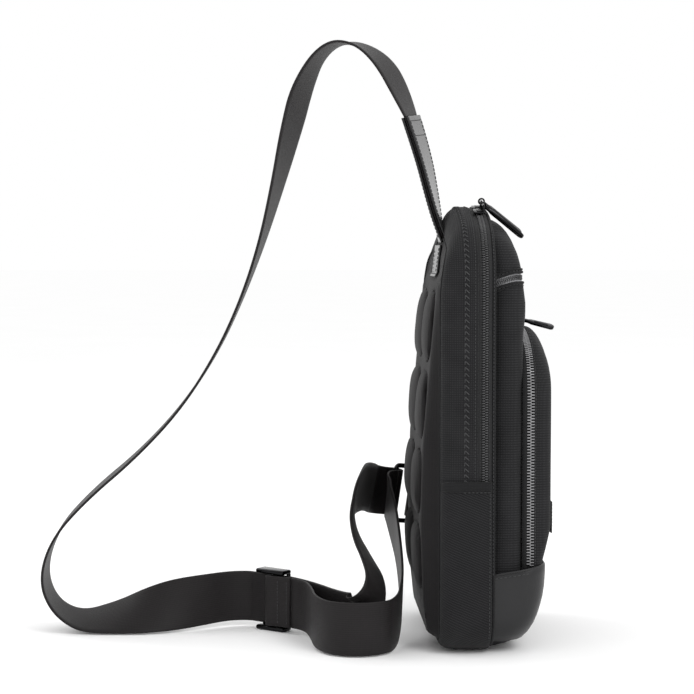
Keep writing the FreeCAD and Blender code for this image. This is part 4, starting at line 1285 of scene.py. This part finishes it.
def make_back_panel():
    """The cloth of the back: it rises from the rear seam to the padded face."""
    rows = []
    for sample in BAG:
        seam, edge_inset = rear_curve(sample)[-1]
        seam -= 0.2
        narrow = 1.0 - 0.45 * max(0.0, -sample[3])
        row = []
        for step, share in BACK_EDGE:
            p = on_outline(sample, 0.0, edge_inset + step * narrow)
            p.y = (seam + (back_y(p.z / MM) - seam) * share) * MM
            row.append(p)
        row += inward(row[-1], (0.92, 0.83, 0.74, 0.65, 0.55, 0.45, 0.35, 0.25, 0.12), BACK_CENTRE_Z,
                      lambda z, share: back_y(z) - 0.3)
        rows.append(row)
    data = mesh_data("back_cloth", *with_middle(rows, mm(0.0, back_y(BACK_CENTRE_Z), BACK_CENTRE_Z)))
    panel = add_object("back_cloth", data, **on_bag("back_mesh", KNIT))
    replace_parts(panel, "back_panel", "back_inner_panel")


PAD_WIDTH = 62.0
PAD_CENTRE = 34.0
PAD_RISE = 5.0


def pad_frame(row):
    """Middle, down direction, outward direction and half length of a row of pads."""
    y_top, z_top = BACK_PROFILE[row]
    y_low, z_low = BACK_PROFILE[row + 1]
    length = math.hypot(y_low - y_top, z_top - z_low)
    down = Vector((0.0, (y_low - y_top) / length, (z_low - z_top) / length))
    out = Vector((0.0, -down.z, down.y))
    return mm(0.0, (y_top + y_low) / 2, (z_top + z_low) / 2), down, out, length / 2 - 2.5


def pad_start(name, row, sign):
    """A low dome with a rounded oblong outline, before it is inflated."""
    middle, down, out, half_l = pad_frame(row)
    centre = middle + ALONG_X * (sign * PAD_CENTRE * MM)
    half_w = PAD_WIDTH / 2 - 1.0
    height = PAD_RISE * 0.9
    verts = [centre + out * (height * MM)]
    rings = 9
    around = 40
    for r in range(1, rings + 1):
        share = r / rings
        rise = height * (1 - share ** 2.6) ** 0.75
        for k in range(around):
            a = 2 * math.pi * k / around
            x = soft_power(math.cos(a), 0.72) * half_w * share
            y = soft_power(math.sin(a), 0.56) * half_l * share
            verts.append(centre + ALONG_X * (x * MM) + down * (y * MM) + out * (rise * MM))
    faces = [(0, 1 + k, 1 + (k + 1) % around) for k in range(around)]
    for r in range(rings - 1):
        for k in range(around):
            a = 1 + r * around + k
            b = 1 + r * around + (k + 1) % around
            faces.append((a, a + around, b + around, b))
    base = len(verts)
    rim = 1 + (rings - 1) * around
    verts += [verts[rim + k] - out * (2.2 * MM) for k in range(around)]
    faces += [(rim + k, base + k, base + (k + 1) % around, rim + (k + 1) % around) for k in range(around)]
    faces.append(tuple(base + k for k in range(around)))
    return mesh_data(name, verts, faces)


SWELL_FRAMES = 20
SWELL_CAP = 3.2


def inflate(piece):
    """Swells a remeshed pad with Cloth, then limits how far each point moved and applies the result."""
    bpy.context.view_layer.objects.active = piece
    cloth = piece.modifiers.new("inflate", "CLOTH")
    cloth.settings.use_pressure = True
    cloth.settings.uniform_pressure_force = 4.0
    cloth.settings.effector_weights.gravity = 0.0
    cloth.settings.quality = 4
    cloth.settings.tension_stiffness = 12.0
    cloth.settings.compression_stiffness = 12.0
    cloth.settings.bending_stiffness = 0.6
    cloth.point_cache.frame_start = 1
    cloth.point_cache.frame_end = SWELL_FRAMES
    scene = bpy.context.scene
    for f in range(1, SWELL_FRAMES + 1):
        scene.frame_set(f)
    graph = bpy.context.evaluated_depsgraph_get()
    shape = piece.evaluated_get(graph).to_mesh()
    after = [v.co.copy() for v in shape.vertices]
    piece.evaluated_get(graph).to_mesh_clear()
    piece.modifiers.remove(cloth)
    scene.frame_set(1)
    for v, swelled in zip(piece.data.vertices, after):
        move = swelled - v.co
        if move.length > SWELL_CAP * MM:
            move = move.normalized() * (SWELL_CAP * MM)
        v.co = v.co + move


def make_pads():
    for row in range(4):
        for column, sign in (("left", 1), ("right", -1)):
            name = "pad_%d_%s" % (row + 1, column)
            piece = add_object(name, pad_start(name, row, sign))
            remesh = piece.modifiers.new("remesh", "REMESH")
            remesh.mode = "VOXEL"
            remesh.voxel_size = 2.4 * MM
            graph = bpy.context.evaluated_depsgraph_get()
            piece.data = bpy.data.meshes.new_from_object(piece.evaluated_get(graph))
            piece.modifiers.clear()
            inflate(piece)
            piece.data.materials.append(KNIT)
            piece.data.shade_smooth()
            smooth = piece.modifiers.new("smooth", "SUBSURF")
            smooth.levels = 1
            smooth.render_levels = 1
            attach(piece, "bag")
            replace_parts(piece, "back_" + name)


LINING_INSET = 12.2
BOARD_REAR = 18.0
BOARD_TOP = 295.0


def make_inner():
    """The lining sleeve and the back board, which lean forward under the crown like the back."""
    sleeve = arch_band("lining_sleeve", BAG,
                       lambda s: closed_band(BINDING_FRONT + 0.2, 14.5 - 7.5 * crown(s), LINING_INSET,
                                             LINING_INSET + 0.8, 0.2),
                       True, **BAG_LINING)
    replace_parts(sleeve, "main_lining")
    rows = []
    for sample in BAG:
        edge = on_outline(sample, 0.0, LINING_INSET + 2.0)
        row = []
        for share in [i / 10 for i in range(10, 0, -1)]:
            z = min(BOARD_TOP * MM, BACK_CENTRE_Z * MM + (edge.z - BACK_CENTRE_Z * MM) * share)
            row.append(Vector((edge.x * share, min(BOARD_REAR, back_y(z / MM) - 3.5) * MM, z)))
        rows.append(row)
    data = mesh_data("back_board", *with_middle(rows, mm(0.0, BOARD_REAR, BACK_CENTRE_Z)))
    board = add_object("back_board", data, **on_bag("board", BOARD))
    thicken(board, 2.0)
    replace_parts(board, "back_stiffener")


YOKE_LOW = 281.0
YOKE_HIGH = 305.0


def make_yoke():
    """The glossy leather patch between the back's top seam and the strap tab."""
    section = band_section(22.0 * MM, 0.0, 1.7 * MM)
    rings = []
    for i in range(9):
        z = YOKE_LOW + (YOKE_HIGH - YOKE_LOW) * i / 8
        rings.append([Vector((a, (back_y(z) + 0.1) * MM + u, z * MM)) for a, u in section])
    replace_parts(swept("yoke_leather", rings, **GLOSSY_LEATHER), "back_yoke")
    corners = [mm(x, back_y(z) + 1.95, z) for x, z in ((-20, YOKE_HIGH - 2), (-20, YOKE_LOW + 2),
                                                       (20, YOKE_LOW + 2), (20, YOKE_HIGH - 2))]
    stitches("yoke_stitches", sides_between(corners, BACKWARD), slot="leather")


# ---------------------------------------------------------------- strap
HALF_THICK = WEBBING_THICK / 2 * MM
HALF_WIDE = WEBBING_WIDTH / 2 * MM
LEATHER_THICK = 1.8
FOLD_HALF = 0.95  # half the thickness of webbing pressed round a bar
FOLD_GAP = 1.05  # from the bar's face to the middle of that webbing


def make_strap():
    long_piece = ribbon_piece("strap_long", LONG, HALF_WIDE, -HALF_THICK, HALF_THICK, **BAG_WEBBING)
    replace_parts(long_piece, "strap_webbing_long")
    short_piece = ribbon_piece("strap_short", SHORT, HALF_WIDE, -HALF_THICK, HALF_THICK, **BAG_WEBBING)
    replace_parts(short_piece, "strap_webbing_short")
    wrap = make_wrap()
    end_loop = make_end_loop()
    make_slider() + [wrap, end_loop]


def make_tab():
    """The tab at the top: webbing between two leather covers, sewn along its sides and across its end."""
    core = ribbon_piece("tab_webbing", TAB_LINE, HALF_WIDE, -HALF_THICK, HALF_THICK, **BAG_WEBBING)
    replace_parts(core, "strap_tab_webbing")
    inner = HALF_THICK + 0.1 * MM
    outer = inner + LEATHER_THICK * MM
    for name, low, high in (("front", inner, outer), ("back", -outer, -inner)):
        cover = ribbon_piece("tab_leather_" + name, TAB_LINE, HALF_WIDE + 2 * MM, low, high, **GLOSSY_LEATHER)
        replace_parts(cover, "strap_tab_" + name)
    length = TAB_LINE.length
    margin = 4 * MM
    seam = HALF_WIDE - 0.5 * MM
    downs = [margin + (length - 2 * margin) * i / 40 for i in range(41)]
    acrosses = [seam * (i / 6 - 1) for i in range(13)]
    seams = [[(along, across) for along in downs] for across in (-seam, seam)]
    seams += [[(along, across) for across in acrosses] for along in (length - margin, length - 4 * margin)]
    lines = []
    for sign in (-1, 1):
        for line in seams:
            places = [TAB_LINE.at(along, across, sign * outer) for along, across in line]
            lines.append(([p for p, _ in places], [n * sign for _, n in places]))
    stitches("tab_stitches", lines, 3.2, 2.3, 0.34, slot="leather")


def make_wrap():
    """The strap's bend round the ring: the middle of its thickness lies at WRAP_RADIUS."""
    side = RING_BAR.cross(RING_PULL).normalized()
    radius = WRAP_RADIUS * MM
    section = band_section(HALF_WIDE, -HALF_THICK, HALF_THICK)
    rings = []
    weave = []
    for i in range(25):
        a = math.radians(-92 + 184 * i / 24)
        out = RING_PULL * math.cos(a) + side * math.sin(a)
        rings.append([WRAP_AT * MM + out * (radius + u) + RING_BAR * w for w, u in section])
        weave += [(a * radius, w) for w, _ in section]
    wrap = swept("ring_turn", rings, weave, **BAG_WEBBING)
    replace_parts(wrap, "strap_ring_wrap")
    return wrap


def folded_webbing(name, at, away, out, across, half_width, radius, tails, **kind):
    """Webbing folded round a bar: in along one side of it and out along the other.

    away is the direction from the bar along both tails, out is the side of the first one, and across is the
    direction of the bar. Each tail is its distances from the bar and how far it lies off the bar's middle.
    """
    (first, first_off), (last, last_off) = tails
    path = [(at + away * (d * MM) + out * (first_off * MM), out) for d in first]
    for i in range(13):
        a = math.radians(90 + 180 * i / 12)
        n = away * math.cos(a) + out * math.sin(a)
        path.append((at + n * (radius * MM), n))
    path += [(at + away * (d * MM) - out * (last_off * MM), -out) for d in last]
    section = band_section(half_width, -FOLD_HALF * MM, FOLD_HALF * MM)
    rings = [[p + n * u + across * w for w, u in section] for p, n in path]
    weave = [(s, w) for s in lengths_along([p for p, _ in path]) for w, _ in section]
    return swept(name, rings, weave, **kind)


def make_end_loop():
    """The short strand's end, folded round the slider's bar and sewn back on itself."""
    bar_at = (SLIDER_AT + SLIDER_OUT * LOOP_OFFSET) * MM
    tails = ((LOOP_TAIL + 7.0, 18.0, 12.0, 7.0), 1.0), ((7.0, 12.0, 18.0, LOOP_TAIL - 1.0), FOLD_GAP)
    loop = folded_webbing("slider_loop", bar_at, SLIDER_DIR, -SLIDER_OUT, UP, HALF_WIDE,
                          BAR_RADIUS + FOLD_GAP, tails, body="strap_slider", slot="webbing", material=WEBBING)
    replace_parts(loop, "strap_end_loop")
    lines = []
    reach = UP * (17 * MM)
    for n in (-SLIDER_OUT, SLIDER_OUT):
        for d in (9.0, 18.0):
            a = bar_at + SLIDER_DIR * (d * MM) + n * (2.0 * MM)
            lines.append(([a - reach, a + reach], [n, n]))
    stitches("slider_loop_stitches", lines, 2.6, 1.9, 0.3, body="strap_slider", slot="webbing")
    return loop


def rod(centre, direction, length, radius):
    """A round bar with bevelled ends as (verts, faces)."""
    sides = 16
    side = direction.orthogonal().normalized()
    other = direction.cross(side)
    stops = ((-0.5 * length, radius * 0.75), (-0.5 * length + radius * 0.25, radius),
             (0.5 * length - radius * 0.25, radius), (0.5 * length, radius * 0.75))
    verts = [centre + direction * s + d * r for s, r in stops for d in circle(side, other, sides)]
    faces = grid_faces(4, sides, close_columns=True)
    faces += [tuple(range(sides - 1, -1, -1)), tuple(range(3 * sides, 4 * sides))]
    return verts, faces


SLIDER_REACH = 12.0
SLIDER_RAIL = 3.5


def make_slider():
    """The tri-glide: two rails, two outer bars and the bar that the short strand is sewn round."""
    half = WEBBING_WIDTH / 2 + 0.8
    low = -BAR_OFFSET - BAR_RADIUS
    high = LOOP_OFFSET + BAR_RADIUS
    middle = (low + high) / 2
    parts = []
    for sign in (-1, 1):
        centre = (SLIDER_AT + UP * (sign * (half + SLIDER_RAIL / 2)) + SLIDER_OUT * middle) * MM
        parts.append(block(centre, (SLIDER_DIR, UP, SLIDER_OUT),
                           (2 * SLIDER_REACH + 2 * BAR_RADIUS, SLIDER_RAIL, high - low), 1.5, 4))
        bar_at = (SLIDER_AT + SLIDER_DIR * (sign * SLIDER_REACH) - SLIDER_OUT * BAR_OFFSET) * MM
        parts.append(rod(bar_at, UP, (2 * half + 1) * MM, BAR_RADIUS * MM))
    glide = merged("tri_glide", parts, **metal("strap_slider"))
    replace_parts(glide, "slider_frame")
    bar_at = (SLIDER_AT + SLIDER_OUT * LOOP_OFFSET) * MM
    bar = merged("tri_glide_bar", [rod(bar_at, UP, 2 * half * MM, BAR_RADIUS * MM)], **metal("strap_slider"))
    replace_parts(bar, "slider_bar")
    return [glide, bar]


RING_WIRE = 2.0
RING_SPAN = 18.0
RING_CORNER = 3.0


def make_ring():
    """An oblong ring of round wire with rounded corners."""
    half_l = (WEBBING_WIDTH + 2.0) / 2 + RING_WIRE
    half_s = RING_SPAN / 2
    middle = (STRAP_BAR_AT + TAB_BAR_AT) * 0.5
    path = []
    for sx, sy, start in ((1, 1, 0), (-1, 1, 90), (-1, -1, 180), (1, -1, 270)):
        for i in range(7):
            a = math.radians(start + 90 * i / 6)
            x = sx * (half_l - RING_CORNER) + RING_CORNER * math.cos(a)
            y = sy * (half_s - RING_CORNER) + RING_CORNER * math.sin(a)
            path.append((middle + RING_BAR * x + RING_PULL * y) * MM)
    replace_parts(tube("strap_ring", path, RING_WIRE * MM, True, 14, **metal("ring")), "ring")


def make_ring_tab():
    """The webbing tab that holds the ring: a fold round its bar, sewn into the side."""
    bend = RING_WIRE + FOLD_GAP
    tail = (15.5, 11.0, 6.0, 2.0)
    tab = folded_webbing("ring_tab_webbing", TAB_BAR_AT * MM, RING_PULL, RING_NORMAL, RING_BAR, 19.0 * MM,
                         bend, ((tail, bend), (tail[::-1], bend)), **BAG_WEBBING)
    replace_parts(tab, "ring_tab")


# ---------------------------------------------------------------- zip sliders and pulls
SLIDER_LONG = 10.6
BAIL_HALF = 4.4
BAIL_WIRE = 0.85
EYE_RADIUS = 2.1
EYE_WIRE = 0.68

# what a slider follows on an arched zip: the arc's middle, and the radius and depth of its plate and its bail
MAIN_ZIP = {"centre_z": CREST - TOP_RADIUS, "plate": 151.75, "plate_y": ZIP_MID,
            "bail": 156.55, "bail_y": -13.0}
POCKET_ZIP = {"centre_z": POCKET_CREST - POCKET_TOP_RADIUS, "plate": 131.65, "plate_y": -45.5,
              "bail": 136.45, "bail_y": -45.5}
PULL_WIDTH = 6.6
PULL_THICK = 2.2
MAIN_PARKED = {"left": -11.5, "right": -16.5}  # degrees off the crest
POCKET_PARKED = -6.2

UPPER_LEAN = math.atan2(SLANT_RUN, SLANT_RISE)
UPPER_OUT = Vector((0.0, -math.cos(UPPER_LEAN), math.sin(UPPER_LEAN)))
UPPER_DOWN = Vector((0.0, -math.sin(UPPER_LEAN), -math.cos(UPPER_LEAN)))
UPPER_BAIL = mm(52.0, -43.36, 281.79)


def outline_plate(points, thick, rounding):
    """A flat plate from a closed outline of (a, b) points in millimetres, as a small bmesh."""
    bm = bmesh.new()
    face = bm.faces.new([bm.verts.new((a * MM, b * MM, -thick / 2 * MM)) for a, b in points])
    made = bmesh.ops.extrude_face_region(bm, geom=[face])
    far_side = [v for v in made["geom"] if isinstance(v, bmesh.types.BMVert)]
    bmesh.ops.translate(bm, vec=(0, 0, thick * MM), verts=far_side)
    rims = [e for e in bm.edges if abs(e.verts[0].co.z - e.verts[1].co.z) < 1e-7]
    bmesh.ops.bevel(bm, geom=rims, offset=rounding * MM, segments=2, profile=0.5, affect="EDGES")
    return bm


def wire_ring(middle, first, second, stretch):
    """A pull's eye as (verts, faces): a ring of round wire, made wider along its axis by stretch."""
    axis = second.cross(first) * stretch
    verts = [middle + out * (EYE_RADIUS * MM) + d * (EYE_WIRE * MM)
             for out in circle(first, second, 20) for d in circle(out, axis, 8)]
    return verts, grid_faces(20, 8, close_rows=True, close_columns=True)


def pull_piece(name, bail, hang, side, length, width, thick, node, twist=0.0):
    """A zip pull: an eye on the bail, a slim neck, and a blade that hangs a little twisted."""
    half = width / 2
    edge = [(2.2, -1.5), (6.0, -1.5), (8.5, -half * 0.82), (length - half, -half)]
    tip = [(length - half + half * math.cos(a), half * math.sin(a))
           for a in [math.pi * (i / 8 - 0.5) for i in range(1, 8)]]
    eye = wire_ring(bail, hang, hang.cross(side), 1.6)
    side = Matrix.Rotation(math.radians(twist), 3, hang) @ side
    normal = hang.cross(side)
    bm = outline_plate(edge + tip + [(a, -b) for a, b in reversed(edge)], thick, 0.35)
    verts = [bail + hang * v.co.x + side * v.co.y + normal * v.co.z for v in bm.verts]
    faces = [tuple(v.index for v in f.verts) for f in bm.faces]
    bm.free()
    parts = [(verts, faces), eye]
    ridge_start = 11.0
    ridge_end = length - 5.0
    for sign in (-1, 1):
        middle = bail + hang * ((ridge_start + ridge_end) / 2 * MM) + normal * (sign * (thick / 2 + 0.1) * MM)
        sizes = (ridge_end - ridge_start, width * 0.42, 0.7)
        parts.append(block(middle, (hang, side, normal), sizes, 0.3, 2))
    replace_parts(merged(name, parts, **metal(node)), node)


def slider_piece(node, middle, along, out, width, bail):
    """A zip slider: a rounded plate with cheeks along the zip, a bridge and the bar a pull hangs on."""
    across = out.cross(along)
    axes = (along, across, out)
    parts = [block(middle, axes, (SLIDER_LONG, width, 1.5), 0.5),
             block(middle + out * (0.9 * MM), axes, (SLIDER_LONG * 0.62, width * 0.5, 1.0), 0.4)]
    for side in (-1, 1):
        cheek = middle + across * (side * (width / 2 - 0.5) * MM) - out * (0.35 * MM)
        parts.append(block(cheek, axes, (SLIDER_LONG * 0.8, 0.9, 1.7), 0.4))
    rise = (bail - middle).dot(out)
    foot = bail - out * rise
    line = []
    for i in range(17):
        a = math.pi * i / 16
        line.append(foot - along * (soft_power(math.cos(a), 0.45) * BAIL_HALF * MM)
                    + out * (soft_power(math.sin(a), 0.45) * rise))
    name = node + "_body"
    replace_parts(merged(name, parts, **metal(node)), node)
    tube(name + "_bail", line, BAIL_WIRE * MM, sides=12, **metal(node))


def parked(arch, at):
    """The turn to a place on an arched zip, and the middles of a slider's plate and bail there."""
    turn = Matrix.Rotation(math.radians(at), 3, "Y")
    centre = mm(0.0, 0.0, arch["centre_z"])
    return (turn, turn @ mm(0.0, arch["plate_y"], arch["plate"]) + centre,
            turn @ mm(0.0, arch["bail_y"], arch["bail"]) + centre)


def arch_slider(node, arch, at, width):
    turn, plate, bail = parked(arch, at)
    slider_piece(node, plate, turn @ ALONG_X, turn @ UP, width, bail)


def arch_pull(name, node, arch, at, hang_angle, length, twist):
    turn, _, bail = parked(arch, at)
    a = math.radians(hang_angle)
    hang = turn @ Vector((0.0, -math.cos(a), -math.sin(a)))
    pull_piece(name, bail, hang, turn @ ALONG_X, length, PULL_WIDTH, PULL_THICK, node, twist)


def make_sliders():
    for side, at in MAIN_PARKED.items():
        arch_slider("main_slider_" + side, MAIN_ZIP, at, 8.6)
    arch_slider("pocket_slider", POCKET_ZIP, POCKET_PARKED, 4.8)
    slider_piece("upper_slider", UPPER_BAIL - UPPER_OUT * (4.8 * MM), ALONG_X, UPPER_OUT, 6.8, UPPER_BAIL)


def make_pulls():
    for side, twist in (("left", 24.0), ("right", -30.0)):
        arch_pull("main_puller_" + side, "main_pull_" + side, MAIN_ZIP, MAIN_PARKED[side], 39.0, 40.0, twist)
    arch_pull("pocket_puller", "pocket_pull", POCKET_ZIP, POCKET_PARKED, 14.0, 27.0, 20.0)
    pull_piece("upper_puller", UPPER_BAIL, UPPER_DOWN, ALONG_X, 27.0, 6.0, 1.8, "upper_pull")


# ---------------------------------------------------------------- light and floor
KEY_LIGHT = ("key", (-1.3, -0.9, 1.6), (0.0, 0.05, 0.15), 14.0, 0.9, 0.9)
RIM_LIGHT = ("rim", (0.5, 1.5, 1.3), (0.0, 0.05, 0.2), 9.0, 0.9, 1.2)


def area_light(name, location, aim, energy, size_x, size_y):
    data = bpy.data.lights.new(name, "AREA")
    data.shape = "RECTANGLE"
    data.size = size_x
    data.size_y = size_y
    data.energy = energy
    lamp = add_object(name, data)
    lamp.location = location
    lamp.rotation_euler = (Vector(aim) - Vector(location)).to_track_quat("-Z", "Y").to_euler()


def make_studio():
    scene = bpy.context.scene
    scene.view_settings.view_transform = "Standard"
    world = bpy.data.worlds.new("studio")
    scene.world = world
    world.use_nodes = True
    back = world.node_tree.nodes["Background"]
    back.inputs["Color"].default_value = (1.0, 1.0, 1.0, 1.0)
    back.inputs["Strength"].default_value = 1.0
    area_light(*KEY_LIGHT)
    area_light(*RIM_LIGHT)
    data = mesh_data("floor", [(-30, -30, 0), (30, -30, 0), (30, 30, 0), (-30, 30, 0)], [(0, 1, 2, 3)])
    ground = Look("floor", (0.9, 0.9, 0.9), 0.9, **{"Specular IOR Level": 0.0})
    vector, _ = ground.axes("object")
    white = ground.surface(ground.blend(ground.noise(vector, 3.0), (0.975, 0.975, 0.975), (1.0, 1.0, 1.0)))
    add_object("floor", data, material=white)


KEPT_LOOKS = {"upper_pocket_bag": LINING, "tablet_divider": BOARD,
              "base_stiffener": BOARD, "base_panel": PLAIN}


def dress_nodes():
    """Materials for the CAD nodes that stay: the upper pocket's bag, the divider and the base."""
    for name, look in KEPT_LOOKS.items():
        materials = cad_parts[name].data.materials
        materials.clear()
        materials.append(look)


make_camera()
make_strap()
make_tab()
make_ring()
make_ring_tab()
make_gusset()
make_zip_tapes()
make_main_coil()
make_gusset_stitches()
make_binding()
make_front_panel()
make_bumper()
make_pocket_sides()
make_pocket_teeth()
make_pocket_face()
make_pocket_lining()
make_badge()
make_side_pockets()
make_back_panel()
make_pads()
make_inner()
make_yoke()
make_sliders()
make_pulls()
dress_nodes()
make_studio()
